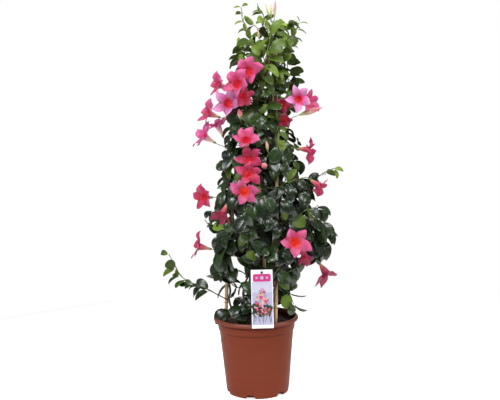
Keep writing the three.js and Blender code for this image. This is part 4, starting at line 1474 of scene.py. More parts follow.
class Net:
    """Corners with their UV, and faces with the side of the leaf that they are on."""

    def __init__(self):
        self.points, self.uvs, self.faces, self.sides = [], [], [], []

    def corner(self, where, u, v):
        self.points.append(where)
        self.uvs.append((u, v))
        return len(self.points) - 1

    def add(self, side, *faces):
        self.faces += faces
        self.sides += [side] * len(faces)


def add_blade(net, width, arch, droop, fold, dome, twist):
    """Two domed halves above, a shallow keel below. Gives the edges of its margin."""
    def corner(row, across, under=0.0):
        x = BLADE_START + (1 - BLADE_START) * BLADE_ROWS[row]
        reach = BLADE_OUTLINE[row]
        half = width / 2 * reach
        lift = fold * abs(across) * half + dome * reach * math.sin(math.pi * min(1.0, abs(across)) ** 0.9)
        height = midrib(x, arch, droop) + lift + twist * x * across * half - under
        return net.corner((x, across * half, height), x, 0.5 + across / 2)

    last, edge = len(BLADE_ROWS) - 1, len(BLADE_COLUMNS) - 1
    foot, tip = corner(0, 0), corner(last, 0)
    top = {}
    for row in range(1, last):
        for column, across in enumerate(BLADE_COLUMNS):
            top[row, column] = corner(row, across)
        top[row, "under"] = corner(row, 0, BLADE_KEEL)
    strips = [(0, column + 1, column) for column in range(edge)] + [(1, 0, "under"), (1, "under", edge)]
    for side, left, right in strips:
        net.add(side, (top[1, right], top[1, left], foot), (tip, top[last - 1, left], top[last - 1, right]))
        for row in range(1, last - 1):
            quad = top[row, left], top[row, right], top[row + 1, right], top[row + 1, left]
            net.add(side, quad if side else (*quad[1:], quad[0]))  # each side has its own diagonal
    rows = [(top[row, column], top[row + 1, column]) for row in range(1, last - 1) for column in (0, edge)]
    ends = [pair for column in (0, edge) for pair in ((foot, top[1, column]), (top[last - 1, column], tip))]
    return {frozenset(pair) for pair in rows + ends}


# %% Its stalk, and the shape as a whole
STALK_RINGS = ((-0.02, 0.016), (BLADE_START * 0.6, 0.011), (BLADE_START + 0.03, 0.009))  # place, thickness


def add_leaf_stalk(net, arch, droop):
    """A stalk of three sides, from just inside the stem to just under the blade."""
    rings = []
    for x, thick in STALK_RINGS:
        middle = midrib(max(x, 0), arch, droop) - 0.008
        rings.append([
            net.corner((x, thick * math.cos(a), middle + thick * math.sin(a)), max(x, 0), 0.5)
            for a in (math.pi / 2, math.pi * 7 / 6, math.pi * 11 / 6)
        ])
    for before, after in zip(rings, rings[1:]):
        for i, j in ((0, 1), (1, 2), (2, 0)):
            net.add(0, (before[i], before[j], after[j], after[i]))
    net.add(0, tuple(rings[0][::-1]), tuple(rings[-1]))


def leaf_shape(name, width, arch, droop, fold, dome, twist):
    """A leaf from its foot at the origin to its tip at x = 1, facing +z, as a closed thin mesh."""
    net = Net()
    margin = add_blade(net, width, arch, droop, fold, dome, twist)
    add_leaf_stalk(net, arch, droop)
    mesh = bpy.data.meshes.new(name)
    mesh.from_pydata(net.points, [], net.faces)
    flat = [number for face in net.faces for i in face for number in net.uvs[i]]
    mesh.uv_layers.new(name="UVMap").data.foreach_set("uv", flat)
    write_numbers(mesh, "underside", net.sides, "FACE")
    write_numbers(mesh, "run", [max(0.0, point[0]) for point in net.points])
    mesh.shade_smooth()
    sharp = mesh.attributes.new("sharp_edge", "BOOLEAN", "EDGE")
    sharp.data.foreach_set("value", [frozenset(pair.vertices) in margin for pair in mesh.edges])
    return bpy.data.objects.new(name, mesh)


# %% Five leaf shapes
LEAF_SHAPES = {
    "broad": dict(width=0.70, arch=0.09, droop=0.08, fold=0.20, dome=0.060, twist=0.12),
    "drooping": dict(width=0.68, arch=0.13, droop=0.20, fold=0.24, dome=0.060, twist=-0.16),
    "rolled": dict(width=0.62, arch=0.08, droop=0.06, fold=0.42, dome=0.045, twist=0.20),
    "wavy": dict(width=0.66, arch=0.12, droop=-0.08, fold=0.06, dome=0.056, twist=-0.34),
    "young": dict(width=0.50, arch=0.08, droop=0.12, fold=0.36, dome=0.025, twist=0.14),
}
leaf_store = store_of(
    "leaves", [leaf_shape(f"{i}_{name}", **numbers) for i, (name, numbers) in enumerate(LEAF_SHAPES.items())]
)
for thing in leaf_store.objects:
    print(thing.name, len(thing.data.polygons), "faces")

# %% The tree that grows leaves
foliate, given = new_tree(
    "Grow leaves", Shapes=("Collection", None), Warp=("Float", 0.12), WarpScale=("Float", 14.0),
    Top=("Material", None), Under=("Material", None),
)


def attribute(name, kind):
    made = put("GeometryNodeInputNamedAttribute", {"Name": name}, data_type=kind)
    return next(output for output in made.outputs if output.enabled and output.name == "Attribute")


turned = put(
    "FunctionNodeAxesToRotation",
    {0: attribute("way", "FLOAT_VECTOR"), 1: attribute("face", "FLOAT_VECTOR")},
    primary_axis="X", secondary_axis="Z",
)
solid = instanced(
    given["Geometry"], given["Shapes"], Instance_Index=attribute("shape", "INT"),
    Rotation=turned.outputs[0], Scale=attribute("size", "FLOAT_VECTOR"),
)
flow = put("ShaderNodeTexNoise", {"Scale": given["WarpScale"], "Detail": 1.0})
centred = put("ShaderNodeVectorMath", {0: flow.outputs["Color"], 1: (0.5, 0.5, 0.5)}, operation="SUBTRACT")
reach = maths(
    "MULTIPLY", given["Warp"],
    maths("MULTIPLY", attribute("run", "FLOAT"), attribute("length", "FLOAT")),
)
shift = put("ShaderNodeVectorMath", {0: centred.outputs[0], "Scale": reach}, operation="SCALE")
warped = put("GeometryNodeSetPosition", {"Geometry": solid, "Offset": shift.outputs[0]})
topped = put("GeometryNodeSetMaterial", {0: warped.outputs[0], "Material": given["Top"]})
under = maths("GREATER_THAN", attribute("underside", "FLOAT"), 0.5)
backed = put(
    "GeometryNodeSetMaterial",
    {0: topped.outputs[0], "Selection": under, "Material": given["Under"]},
)
put("NodeGroupOutput", {0: backed.outputs[0]})

# %% Which leaves are fresh ones
BEHIND_COUNTS = 0.3  # how much a place further back counts for next to one further aside
all_middles = np.array([middle_of(leaf) for leaves in leaves_of.values() for leaf in leaves])
behind = BEHIND_COUNTS * (all_middles[:, 1] - all_middles[:, 1].min())
fresh_leaves = []
for place in FRESH_PLACES:
    away = size_of(all_middles[:, [0, 2]] - place) + behind
    fresh_leaves += list(all_middles[np.argsort(away)[:2]])
print("leaves:", len(all_middles), "of them fresh:", len(fresh_leaves))

# %% Leaf sizes and ages
LEAF_LENGTH = 1.07
SMALL_BELOW, SMALL_OVER, OLD_BELOW, YOUNG_OVER = 36 * MM, 14 * MM, 0.66, 0.32
SLIM_FROM, SLIM_SHAPE = 0.57, 4  # how young a leaf has to be to be slim, and the number of that shape
SHADE_FROM, SHADE_OVER = 0.25, 0.55  # how far out leaves are where they come out of the shade


def leaf_points(name, leaves, seed):
    """A mesh of one point for each leaf, with what the tree needs to know about it."""
    rng = np.random.default_rng(seed)
    count = len(leaves)
    base, way, face = (np.array([leaf[i] for leaf in leaves]) for i in range(3))
    length = np.array([leaf[3] for leaf in leaves])
    small = np.clip((SMALL_BELOW - length) / SMALL_OVER, 0, 1)
    high = np.clip((base[:, 2] - OLD_BELOW) / YOUNG_OVER, 0, 1)
    youth = 0.10 + 0.56 * high + 0.45 * small + rng.normal(0, 0.11, count)
    if name in SPRIGS:
        youth += 0.5 * np.clip((abs(base[:, 0]) - 0.13) / 0.10, 0, 1)
    middles = np.array([middle_of(leaf) for leaf in leaves])
    for fresh in fresh_leaves:
        this = size_of(middles - fresh) < 0.1 * MM
        youth[this] = rng.uniform(0.52, 0.76)
        length[this] *= 0.84
    youth = np.clip(youth, 0, 1)
    slim = youth + rng.uniform(-0.15, 0.15, count) > SLIM_FROM
    shape = np.where(slim, SLIM_SHAPE, rng.integers(0, SLIM_SHAPE, count))
    mesh = bpy.data.meshes.new(name)
    mesh.from_pydata(base.tolist(), [], [])
    breadth = 1.08 * rng.uniform(0.74, 1.12, count)
    size = np.stack([LEAF_LENGTH * length, breadth * length, LEAF_LENGTH * length], axis=1)
    for title, values in (("way", way), ("face", face), ("size", size)):
        mesh.attributes.new(title, "FLOAT_VECTOR", "POINT").data.foreach_set("vector", values.ravel())
    write_numbers(mesh, "length", length)
    write_numbers(mesh, "youth", youth)
    reaches = np.array([body_at(point[2])[1] for point in middles])
    # Painted shade: a leaf deep inside the body is darkened, the more the further in it sits. The random
    # share varies each leaf's tone.
    shallow = np.array([size_of(outward_from(point)) for point in middles]) / reaches
    lit = np.clip((shallow - SHADE_FROM) / SHADE_OVER, 0.1, 1)
    write_numbers(mesh, "shade", rng.uniform(0.25, 1, count) * lit)
    mesh.attributes.new("shape", "INT", "POINT").data.foreach_set("value", shape.astype(np.int32))
    return mesh


# %% Leaves of every vine and shoot
for order, name in enumerate(leafy_nodes):
    grown_mesh = grown(
        name + "_leaves", leaf_points(name, leaves_of[name], order), foliate, Shapes=leaf_store,
        Warp=0.30, WarpScale=16.0, Top=leaf_top, Under=leaf_under,
    )
    as_piece(name + "_leaves", grown_mesh, "foliage", name)
clear_store(leaf_store)

# %% [markdown]
# ## Flowers
# A mandevilla flower is one piece: a narrow tube that widens into a throat and then splits into five broad
# lobes. Each lobe is lopsided, with a point to one side, like the blades of a pinwheel. The lobes run from
# lilac pink to crimson, redder towards the throat. The petals get a painted glow, strongest down the throat,
# that stands in for light coming through them, and each lobe gets painted shade down its middle, and painted
# shade and light on its two halves. Outside, the tube is paler. Each flower is one bent sheet with a thin
# wall.

# %% A petal's skin
LOBE_HALF_SHADING = (0.86, 1.14)  # one half of each lobe is painted darker and the other lighter: painted shade and painted light, as on a pitched lobe
PETAL_GLOW = 0.27  # a painted glow, standing in for light that comes through from behind
THROAT_GLOW, TUBE_GLOW = 2.6, 1.3  # how much more painted glow there is down the tube, inside and outside


def petal_finish(name, tube_glow, *stops):
    """A petal's skin: colours from the tube's foot to a lobe's rim, with fine streaks along it, painted shade
    on its lobes, and a painted glow.
    """
    material, spot, surface = new_finish(name, 0.55)
    feed("Specular IOR Level", 0.35)
    up_tube = axis_of(surface, 1)
    uneven = clouds(spot, 70.0, 3.0)
    tone = ramp(nudged(up_tube, uneven, 0.12), *stops)
    streak = clouds(stretched(surface, 60, 3, 1), 1.0, 3.0)
    over = maths("FRACT", axis_of(surface, 0))
    # painted shade on one half of each lobe, painted light on the other
    halves = spread(over, 0.15, 0.85, *LOBE_HALF_SHADING)
    # painted shade: a darker line down the middle of each lobe
    middle_line = spread(maths("ABSOLUTE", maths("SUBTRACT", over, 0.5)), 0.0, 0.07, 0.84, 1.0)
    on_lobe = spread(up_tube, 0.58, 0.72, 1.0, maths("MULTIPLY", halves, middle_line))
    streaked = put("ShaderNodeHueSaturation", {
        "Color": tone, "Saturation": spread(uneven, 0.2, 0.8, 1.05, 0.92),
        "Value": maths("MULTIPLY", on_lobe, spread(streak, 0.25, 0.75, 0.84, 1.14)),
    }).outputs[0]
    color_with(streaked)
    glow = spread(up_tube, 0.15, 0.50, tube_glow, 1.0)
    painted_glow = put("ShaderNodeVectorMath", {0: streaked, "Scale": glow}, operation="SCALE")
    feed("Emission Color", painted_glow.outputs[0])
    feed("Emission Strength", PETAL_GLOW)
    relief(streak, 0.25 * MM)
    return material


# %% Six tones of petal, and the tubes that go with them
ORANGE_RED, ROSE_RED, DEEP_RED = (0.52, 0.034, 0.018), (0.48, 0.018, 0.034), (0.38, 0.010, 0.022)
PETAL_TONES = {  # throat, heart, lobe and rim of a petal
    "bright": (ORANGE_RED, (0.35, 0.021, 0.065), (0.37, 0.038, 0.116), (0.41, 0.070, 0.178)),
    "hot": (ROSE_RED, (0.35, 0.019, 0.065), (0.37, 0.037, 0.118), (0.42, 0.072, 0.188)),
    "lilac": (ROSE_RED, (0.37, 0.036, 0.120), (0.42, 0.114, 0.270), (0.48, 0.190, 0.368)),
    "pink": (ROSE_RED, (0.40, 0.026, 0.110), (0.47, 0.062, 0.205), (0.53, 0.115, 0.290)),
    "rose": (ROSE_RED, (0.31, 0.010, 0.036), (0.32, 0.015, 0.060), (0.34, 0.027, 0.096)),
    "crimson": (DEEP_RED, (0.22, 0.005, 0.020), (0.21, 0.007, 0.036), (0.22, 0.012, 0.056)),
}
TUBE_PALE = ((0.70, 0.58, 0.34), (0.74, 0.38, 0.42))  # foot and side of a tube
TUBE_SALMON = ((0.56, 0.34, 0.18), (0.56, 0.16, 0.17))
TUBE_RED = ((0.46, 0.24, 0.15), (0.42, 0.06, 0.08))
TUBE_TONES = {"bright": TUBE_SALMON, "hot": TUBE_SALMON, "lilac": TUBE_PALE, "pink": TUBE_PALE}
petal_faces, petal_backs = {}, {}
for tone_name, (throat, heart, lobe, rim) in PETAL_TONES.items():
    foot, side = TUBE_TONES.get(tone_name, TUBE_RED)
    petal_faces[tone_name] = petal_finish(
        "petal_" + tone_name, THROAT_GLOW,
        (0.30, throat), (0.49, throat), (0.58, heart), (0.70, lobe), (0.97, rim),
    )
    petal_backs[tone_name] = petal_finish(
        "petal_back_" + tone_name, TUBE_GLOW, (0.10, foot), (0.35, side), (0.58, rim), (0.90, rim)
    )

# %% Calyx and anthers
CALYX_DARK, CALYX_PALE = (0.10, 0.17, 0.035), (0.22, 0.27, 0.07)
ANTHER_DARK, ANTHER_PALE, ANTHER_GLOW = (0.62, 0.42, 0.10), (0.80, 0.66, 0.30), (0.55, 0.08, 0.03, 1)

calyx_green, spot, surface = new_finish("calyx_green", 0.45)
color_with(ramp(clouds(spot, 160.0, 3.0), (0.3, CALYX_DARK), (0.7, CALYX_PALE)))
relief(clouds(spot, 500.0), 0.2 * MM)

anther_cream, spot, surface = new_finish("anther_cream", 0.6)
color_with(ramp(clouds(spot, 600.0, 2.0), (0.3, ANTHER_DARK), (0.7, ANTHER_PALE)))
relief(clouds(spot, 900.0), 0.2 * MM)
feed("Emission Color", ANTHER_GLOW)  # a painted glow: they stand in the light of the throat
feed("Emission Strength", 1.0)

# %% The tube of a flower
TUBE_PROFILE = np.array([  # height below the mouth, and radius
    (-46, 2.2), (-42, 2.7), (-36, 4.2), (-30, 6.2), (-24, 8.1), (-18, 9.6), (-13, 10.6), (-9.5, 11.3),
]) * MM
TUBE_PINCH = 0.05  # how far it is drawn in between lobes
USUAL_RADIUS = 36e-3  # a bigger flower has a wider tube, but for the narrow foot
LOBE_COLUMNS = 9
THROAT_SHARE = 0.55  # of the way from the foot to a lobe's tip


def lobe_limits(headings):
    """Where one lobe ends and the next starts, round the mouth."""
    ends = np.append(headings, headings[0] + 2 * math.pi)
    limits = (ends[1:] + ends[:-1]) / 2
    return np.append(limits[-1] - 2 * math.pi, limits)


def add_flower_tube(shape, radius, limits):
    """The tube from its foot to its throat. Gives the height and radius of the throat."""
    columns = LOBE_COLUMNS - 1
    angles = np.concatenate([
        np.linspace(start, end, columns, endpoint=False) for start, end in zip(limits, limits[1:])
    ])
    around = len(angles)
    heights, radii = TUBE_PROFILE.T
    radii = radii * np.where(heights > -0.035, radius / USUAL_RADIUS, 1)
    pinch = 1 - TUBE_PINCH * np.cos(2 * math.pi * np.arange(around) / columns)
    grid = np.stack([
        radii[:, None] * np.cos(angles) * pinch, radii[:, None] * np.sin(angles) * pinch,
        heights[:, None] + 0 * angles,
    ], axis=-1)
    shape.add_grid(grid, uv_round(around, np.linspace(0, THROAT_SHARE, len(heights)), LOBES), wraps=True)
    foot = shape.add_points([0, 0, heights[0] - 0.4 * MM])
    shape.add_faces([[(j + 1) % around, j, foot] for j in range(around)], [[(0, 0)] * 3] * around)
    return heights[-1], radii[-1]


# %% A lobe of a flower
LOBE_ROWS = np.array([0.07, 0.16, 0.27, 0.39, 0.51, 0.63, 0.75, 0.87, 1.0])
WIDEST = 0.34  # where a lobe is widest, as a share of its length


def lobe_outline(t, power, hollow):
    """Half the width of a lobe on one side, as a share: it rises, then falls to a point."""
    opening = 0.80 + 0.20 * np.sin(np.clip(t / WIDEST, 0, 1) * math.pi / 2)
    closing = 1 - np.clip((t - WIDEST) / (1 - WIDEST), 0, 1) ** power
    return opening * closing**hollow + 0.012


def lobe_points(radius, reflex, pitch, width, reach, heading, root, throat, rng):
    """The points of a lobe, row by row from its root. No two lobes bend quite alike."""
    bend, skew, roll, wave, long, drop = rng.uniform(-1, 1, 6)
    throat_height, throat_radius = throat
    a = np.linspace(-1, 1, LOBE_COLUMNS)
    t = LOBE_ROWS[:, None]
    length = radius * reach * (1 + 0.03 * long) - throat_radius
    # how far out of the middle and how far to the side
    full, lean = lobe_outline(t, 2.0 + 0.4 * roll, 0.9), lobe_outline(t, 1.3, 1.2)
    half = width * (1 + 0.10 * skew) * radius * np.where(a > 0, full, lean)
    blend = np.clip(t / 0.27, 0, 1) ** 0.8
    back = reflex + 0.14 * bend
    out = throat_radius * (np.cos(root) * (1 - blend) + blend) + length * (t - 0.20 * max(0, back) * t**3)
    side = throat_radius * np.sin(root) * (1 - blend) * (1 - t) + half * a * np.minimum(1, t / 0.16)
    side = side - (0.15 + 0.08 * skew) * radius * t**2.2
    # how high: up out of the throat, bent back, pitched like a pinwheel's blade, curled, ruffled, drooping
    rise = -throat_height * np.sin(np.clip(t * 1.15, 0, 1) * math.pi / 2)
    height = throat_height + rise - back * radius * t**2 + 0.10 * radius * t * (1 - t)
    height = height + (pitch + 0.10 * roll) * half * a * np.minimum(1, t * 2.5)
    height = height - (0.20 + 0.16 * wave) * half * np.abs(a) ** 2 * t
    ruffle = radius * 0.035 * np.sin(3.6 * a * (1 + 0.2 * wave) + 4 * wave + 5 * t) * t * np.abs(a)
    height = height + ruffle - radius * (0.05 + 0.11 * drop) * t**5
    x = out * math.cos(heading) - side * math.sin(heading)
    y = out * math.sin(heading) + side * math.cos(heading)
    return np.stack([x, y, height + 0 * x], axis=-1)


# %% The sheet of a flower
def flower_sheet(radius, rng, reflex, pitch, width, headings, reaches):
    """A flower about its face axis, with its mouth's middle at the origin."""
    shape = Shape()
    limits = lobe_limits(headings)
    throat = add_flower_tube(shape, radius, limits)
    columns = LOBE_COLUMNS - 1
    around = LOBES * columns
    throat_row = (len(TUBE_PROFILE) - 1) * around
    shares = np.append(0, LOBE_ROWS) * (1 - THROAT_SHARE) + THROAT_SHARE
    for lobe, (heading, reach) in enumerate(zip(headings, reaches)):
        root = np.linspace(limits[lobe], limits[lobe + 1], LOBE_COLUMNS) - heading
        base = shape.add_points(
            lobe_points(radius, reflex, pitch, width, reach, heading, root, throat, rng)
        )

        def corner(row, column):
            if row < 0:
                return throat_row + (lobe * columns + column) % around
            return base + row * LOBE_COLUMNS + column

        for row in range(-1, len(LOBE_ROWS) - 1):
            low, high = shares[row + 1], shares[row + 2]
            for column in range(columns):
                left, right = lobe + column / columns, lobe + (column + 1) / columns
                shape.add_faces([[
                    corner(row, column), corner(row, column + 1), corner(row + 1, column + 1),
                    corner(row + 1, column),
                ]], [[(left, low), (right, low), (right, high), (left, high)]])
    return shape


# %% Calyx and anthers of a flower
SEPALS = 5
CUP = [  # height, radius, and how far a sepal's point stands up, in mm
    (-48.5, 1.2, 0), (-47, 2.6, 0), (-44, 3.2, 0), (-41.5, 3.5, 3.2), (-44, 2.9, 0), (-46, 2.0, 0),
]
ANTHER_CONE = [(0, -42), (0.9, -42), (1.3, -39), (1.1, -35), (0.4, -31), (0, -30.4)]  # radius, height


def add_calyx(shape):
    """Five narrow green sepals in a cup round the foot of the tube."""
    angles = round_angles(2 * SEPALS)
    point = np.where(np.arange(2 * SEPALS) % 2, 1.0, 0.0)
    rows = []
    for height, out, spike in CUP:
        z = height + spike * point - 1.6 * (spike > 0) * (1 - point)
        r = out + 0.5 * point * (spike > 0)
        rows.append(np.stack([r * np.cos(angles), r * np.sin(angles), z], axis=-1) * MM)
    uv = np.zeros((len(rows), 2 * SEPALS + 1, 2))
    shape.add_grid(np.array(rows), uv, wraps=True, closed_ends=True, finish=2)


# %% How each flower looks
# From the first flower to the last: tone, reflex, pitch, how far it looks round to the front and up, its
# size, and where its lobes point: degrees clockwise from the top as one faces it, each with its reach.
FLOWER_LOOKS = [
    ("hot", 0.04, 0.36, (0, 0), 1.0, {318: 1.05, 9: 1.1, 70: 1.2, 153: 0.95, 232: 0.9}),
    ("hot", 0.06, 0.38, (0, 0), 1.0, {323: 1.1, 20: 1.1, 95: 0.95, 165: 1.0, 246: 1.1}),
    ("hot", 0.05, 0.45, (0.7, 0), 1.10, {350: 1.1, 60: 0.9, 130: 0.9, 215: 1.1, 290: 0.8}),
    ("lilac", 0.04, 0.36, (0.1, 0), 1.0, {310: 1.15, 24: 1.2, 92: 1.0, 168: 0.95, 240: 1.2}),
    ("rose", 0.20, 0.35, (0.3, 0), 1.0, None),
    ("hot", 0.05, 0.50, (0.45, 0), 1.10, {0: 1.15, 70: 0.9, 145: 0.9, 235: 1.2, 300: 0.8}),
    ("pink", 0.00, 0.50, (0.06, 0), 1.15, {350: 1.15, 50: 0.9, 150: 0.9, 225: 1.3, 285: 1.3}),
    ("pink", 0.00, 0.35, (0.05, 0), 1.10, None),
    ("hot", 0.04, 0.34, (0, 0.4), 0.92, {275: 1.05, 333: 1.2, 18: 1.2, 85: 1.15, 195: 1.0}),
    ("rose", 0.10, 0.42, (0.1, 0), 1.0, {267: 1.2, 343: 1.15, 43: 1.2, 110: 1.0, 200: 1.0}),
    ("rose", 0.10, 0.42, (0, 0), 1.0, {291: 1.3, 5: 1.0, 75: 1.1, 131: 1.2, 215: 1.0}),
    ("bright", 0.15, 0.42, (0, 0), 0.88, {289: 1.2, 335: 0.9, 80: 1.2, 133: 1.15, 192: 1.0}),
    ("rose", 0.10, 0.25, (0.3, 0), 1.0, {342: 1.15, 281: 1.25, 208: 1.25, 127: 1.0, 50: 0.9}),
    ("crimson", -0.35, 0.20, (0.05, -0.35), 1.0, None),
    ("rose", 0.05, 0.35, (0.1, 0), 1.1, {5: 1.3, 80: 0.8, 140: 0.9, 195: 1.2, 285: 0.9}),
    ("bright", 0.02, 0.28, (0, 0), 0.95, {330: 1.0, 43: 1.15, 111: 1.2, 184: 1.0, 267: 1.05}),
    ("crimson", -0.20, 0.25, (0.2, 0), 0.9, {150: 1.5, 80: 0.9, 225: 0.8, 20: 0.7, 300: 0.8}),
    ("crimson", -0.25, 0.30, (0.1, 0), 1.05, {160: 1.25, 218: 1.25, 95: 1.3, 30: 0.6, 290: 0.8}),
    ("rose", 0.15, 0.80, (0.25, 0), 1.15, {352: 1.1, 60: 0.9, 125: 1.0, 175: 1.3, 270: 0.9}),
    ("rose", 0.20, 0.60, (0.15, 0), 1.0, None),
    ("lilac", 0.04, 0.34, (0, 0), 1.0, {340: 1.2, 35: 1.1, 110: 1.0, 190: 1.2, 262: 1.2}),
    ("hot", 0.10, 0.30, (0.2, 0), 1.1, {20: 1.2, 75: 1.2, 125: 1.3, 215: 1.0, 300: 1.0}),
    ("crimson", 0.10, 0.20, (0, 0), 0.85, None),
    ("crimson", 0.10, 0.20, (0, 0), 0.85, None),
]

# %% Stalks of flowers and buds
STALK_THICK, STALK_THIN, STALK_SIDES = 1.35 * MM, 1.0 * MM, 8
STALK_INSIDE, STALK_STRAIGHT, STALK_BEND = 1 * MM, 8 * MM, 12 * MM


def stalk_line(rings, foot, back):
    """The line of a stalk from its vine to a foot that it leaves along back."""
    clear = [ring for ring in rings if size_of(ring - foot) > 6 * MM]
    chain = [foot + back * (14 * MM)]
    if clear:
        chain = chained(np.array(clear), foot + back * STALK_STRAIGHT)
    beyond = [point for point in chain if size_of(point - foot) > STALK_BEND]
    chain = [foot + back * STALK_INSIDE, foot + back * STALK_STRAIGHT, *beyond][::-1]
    return smooth_line([foot_of(np.array(chain))] + chain, LINE_SPACING)


def add_stalk(shape, line, finish):
    radii = np.linspace(STALK_THICK, STALK_THIN, len(line))
    radii = radii * (1 + 0.35 * np.exp(-((np.arange(len(line)) / 1.5) ** 2)))
    add_tube(shape, line, radii, STALK_SIDES, finish)


# %% Which way a flower's lobes point


def lobes_of(lobes, first, face, rng):
    """The axis that headings are measured from, and the heading and reach of each lobe."""
    if lobes is None:
        headings = np.arange(LOBES) * 2 * math.pi / LOBES + 0.10 * rng.uniform(-1, 1, LOBES)
        return unit(first - face * (first @ face)), headings, rng.uniform(0.95, 1.12, LOBES)
    turns = sorted((-math.radians(degrees) % (2 * math.pi), reach) for degrees, reach in lobes.items())
    return unit(UP - face * (UP @ face)), *np.array(turns).T


# %% Flowers on their stalks
FLOWER_TUBE, LOBE_WIDTH, PETAL_THICKNESS = 46 * MM, 0.36, 0.55 * MM
for order, name in enumerate(flowers):
    tone_name, reflex, pitch, (look, lift), size, lobes = FLOWER_LOOKS[order]
    mouth, face, radius, first, rings = flowers[name]
    rng = np.random.default_rng(100 + order)
    face = unit(face + look * unit(np.array(CAMERA_PLACE) - mouth) + lift * UP)
    first, headings, reaches = lobes_of(lobes, first, face, rng)
    sheet = flower_sheet(radius, rng, reflex, pitch, LOBE_WIDTH * size, headings, size * reaches)
    petals_mesh = with_modifier(
        name + "_petals", sheet.mesh(name + "_petals", petal_backs[tone_name], petal_faces[tone_name]),
        "SOLIDIFY", thickness=PETAL_THICKNESS, offset=-1.0, material_offset=1, material_offset_rim=0,
        use_even_offset=False,
    )
    turn = np.stack([first, np.cross(face, first), face], axis=1)
    petals_mesh.transform(Matrix.LocRotScale(Vector(mouth), Matrix(turn.tolist()), None))
    rest = Shape()
    add_calyx(rest)
    lathe(rest, np.array(ANTHER_CONE) * MM, 10, 3)
    rest.points = [points @ turn.T + mouth for points in rest.points]
    add_stalk(rest, stalk_line(rings, mouth - face * FLOWER_TUBE, -face), 1)
    rest_mesh = rest.mesh(name + "_rest", stem_skin, stem_skin, calyx_green, anther_cream)
    for mesh in (rest_mesh, petals_mesh):
        write_numbers(mesh, "youth", np.full(len(mesh.vertices), 0.75))
    as_piece(name + "_bloom", joined(name + "_bloom", [petals_mesh, rest_mesh]), "petals", name)

# %% [markdown]
# ## Buds
# A bud is the flower rolled up: the five lobes wound round each other into a pointed spindle, so that five
# shallow grooves spiral up it. It comes out of its calyx green and pale, and the tip colours first.

# %% Bud finish
GREEN_BUD = [
    (0.05, (0.22, 0.30, 0.07)), (0.40, (0.50, 0.56, 0.24)), (0.75, (0.62, 0.58, 0.32)),
    (1.0, (0.58, 0.34, 0.22)),
]
PINK_BUD = [
    (0.05, (0.34, 0.40, 0.11)), (0.32, (0.62, 0.46, 0.28)), (0.62, (0.60, 0.16, 0.21)),
    (1.0, (0.50, 0.03, 0.09)),
]

bud_skin, spot, surface = new_finish("bud_skin", 0.45)
blush = number_of("blush")
up_bud = nudged(axis_of(surface, 1), clouds(spot, 240.0, 3.0), 0.25)
color_with(mixed(blush, ramp(up_bud, *GREEN_BUD), ramp(up_bud, *PINK_BUD)))
relief(clouds(stretched(surface, 30, 4, 1), 1.0), 0.2 * MM)

# %% Buds as wound lobes
BUD_SIDES, BUD_ROWS = 20, 14
GROOVE_DEPTH, BUD_TWIST = 0.09, 2.2


def add_bud(shape, foot, tip, radius):
    """A spindle with spiral grooves, one for each lobe. It is fullest past its middle."""
    t = np.linspace(0, 1, BUD_ROWS)
    profile = np.sin(math.pi * t**1.15) ** 0.85 * (1 - 0.25 * t) * 1.22 + 0.10 * (1 - t)
    line = foot + t[:, None] * (tip - foot)
    angles = round_angles(BUD_SIDES)
    groove = 1 - GROOVE_DEPTH * np.cos(LOBES * angles)[None] * np.sin(math.pi * t)[:, None]
    radii = radius * np.maximum(profile, 0.03)[:, None] * groove
    grid = rings_along(line, radii, angles[None] + BUD_TWIST * t[:, None])
    shape.add_grid(grid, uv_round(BUD_SIDES, t), wraps=True, closed_ends=True)


# %% Buds on their stalks
BUD_BLUSH = {  # how pink the buds of a node are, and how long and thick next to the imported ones
    "buds_top": ((0.05, 0.10, 0.75), 1.15, 0.72), "bud_top_left": ((0.55,), 0.72, 0.62),
    "bud_long_right": ((0.85,), 1.08, 1.05), "bud_rolled": ((1.0,), 1.0, 0.9),
    "buds_middle": ((0.8, 0.6), 1.0, 0.8),
}
BUD_FORK, BUD_APART = 12 * MM, 3 * MM


def clear_of(feet, *points):
    return all(size_of(point - foot) > BUD_APART for foot, _ in feet for point in points)


for name, (tips, rings) in buds.items():
    blushes, longer, thicker = BUD_BLUSH[name]
    shape, feet, blush = Shape(), [], []
    for tip, way, length, radius in sorted(tips, key=lambda bud: bud[0][0]):
        foot = tip - way * length
        if clear_of(feet, foot, tip):
            feet.append((foot, way))
            add_bud(shape, foot, foot + way * length * longer, radius * thicker)
            blush += [blushes[len(feet) % len(blushes) - 1]] * (shape.count - len(blush))
    print(name, len(feet), "buds,", len(rings), "rings of stalk")
    foot, way = feet[0]
    main = [ring for ring in rings if (foot - ring) @ way > BUD_FORK - STALK_INSIDE]
    add_stalk(shape, stalk_line(np.array(main), foot, -way), 1)
    fork = foot - way * BUD_FORK
    for other, other_way in feet[1:]:
        side = [fork, other - other_way * (6 * MM), other + other_way * (1 * MM)]
        add_stalk(shape, smooth_line(side, 3 * MM), 1)
    mesh = shape.mesh(name + "_spindles", bud_skin, stem_skin)
    write_numbers(mesh, "youth", np.full(shape.count, 0.8))
    write_numbers(mesh, "blush", np.append(blush, np.zeros(shape.count - len(blush))))
    as_piece(name + "_spindles", mesh, "buds", name)

# %% [markdown]
# ## Floor and light
# The plant stands on a pale floor in plain white surroundings. Four soft boxes give the glossy leaves
# something to mirror: the strongest from the front left, one overhead, one at the side and one behind. A
# broad weak sun fills the shadows, as an open sky does.

# %% Floor
FLOOR, FLOOR_LEVEL, FLOOR_THICKNESS, FLOOR_SEGMENTS = 1.4, -0.0005, 0.02, 96
FLOOR_GLOW = 0.53  # a lit studio sweep
FLOOR_GREY, FLOOR_PALE = (0.79,) * 3, (0.81,) * 3
FLOOR_PROFILE = [
    (0, -FLOOR_THICKNESS), (FLOOR, -FLOOR_THICKNESS), (FLOOR, 0), (FLOOR / 2, 0), (0.01, 0), (0, 0),
]

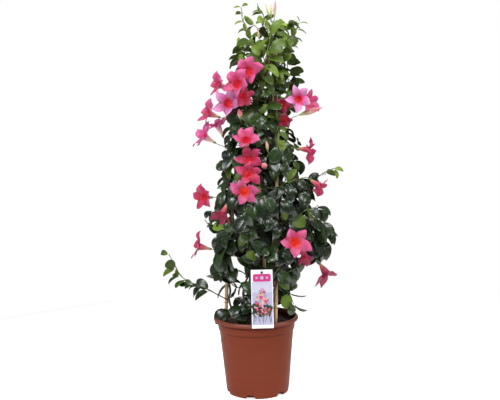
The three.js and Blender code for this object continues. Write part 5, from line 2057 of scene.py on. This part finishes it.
floor_paint, spot, surface = new_finish("floor_paint", 1.0)
feed("Specular IOR Level", 0.0)
feed("Emission Color", (1, 1, 1, 1))
feed("Emission Strength", FLOOR_GLOW)
color_with(ramp(clouds(spot, 3.0), (0.3, FLOOR_GREY), (0.7, FLOOR_PALE)))
floor_shape = Shape()
lathe(floor_shape, FLOOR_PROFILE, FLOOR_SEGMENTS)
floor = in_scene("floor", floor_shape.mesh("floor", floor_paint))
floor.location.z = FLOOR_LEVEL
print("floor:", 2 * FLOOR, "m across")


# %% Soft lights
def aimed(way):
    """The turn that points a light along a way."""
    return Vector(way).to_track_quat("-Z", "Y").to_euler()


def softbox(name, place, aim, size, power, tint=(1, 1, 1)):
    light = bpy.data.lights.new(name, "AREA")
    light.shape, light.size, light.energy, light.color = "SQUARE", size, power, tint
    lamp = in_scene(name, light)
    lamp.location = place
    lamp.rotation_euler = aimed(Vector(aim) - Vector(place))
    print("light:", name, power, "W")


softbox("key", (-1.5, -1.9, 2.5), (0, 0, 0.6), 1.3, 78, (0.93, 0.97, 1.0))
softbox("overhead", (0.7, -0.8, 2.7), (0, 0, 0.6), 1.0, 34, (0.95, 0.98, 1.0))
softbox("side", (2.0, -0.9, 1.7), (0, 0, 0.5), 0.7, 22)
softbox("behind", (0.4, 2.2, 1.9), (0, 0, 0.5), 1.0, 22)

# %% Sky: a broad sun, and white all round
SUN_POWER, SUN_BREADTH, SUN_WAY = 1.1, math.radians(70), (0.35, 0.75, -1.0)
AMBIENT = 0.22  # how strongly the surroundings light the plant; the camera sees them as white

sun = bpy.data.lights.new("sky", "SUN")
sun.energy, sun.angle = SUN_POWER, SUN_BREADTH
sky = in_scene("sky", sun)
sky.rotation_euler = aimed(SUN_WAY)
sky.visible_glossy = False  # it only fills; the soft boxes make the highlights

world = bpy.data.worlds.new("studio")
world.use_nodes = True
at_hand["tree"] = world.node_tree
background = world.node_tree.nodes["Background"].inputs
seen = put("ShaderNodeLightPath").outputs["Is Camera Ray"]
strength = put("ShaderNodeMapRange", {0: seen, 1: 0.0, 2: 1.0, 3: AMBIENT, 4: 1.0}).outputs[0]
give(background["Strength"], strength)
give(background["Color"], (1, 1, 1, 1))
bpy.context.scene.world = world
bpy.context.scene.view_settings.view_transform = "Standard"
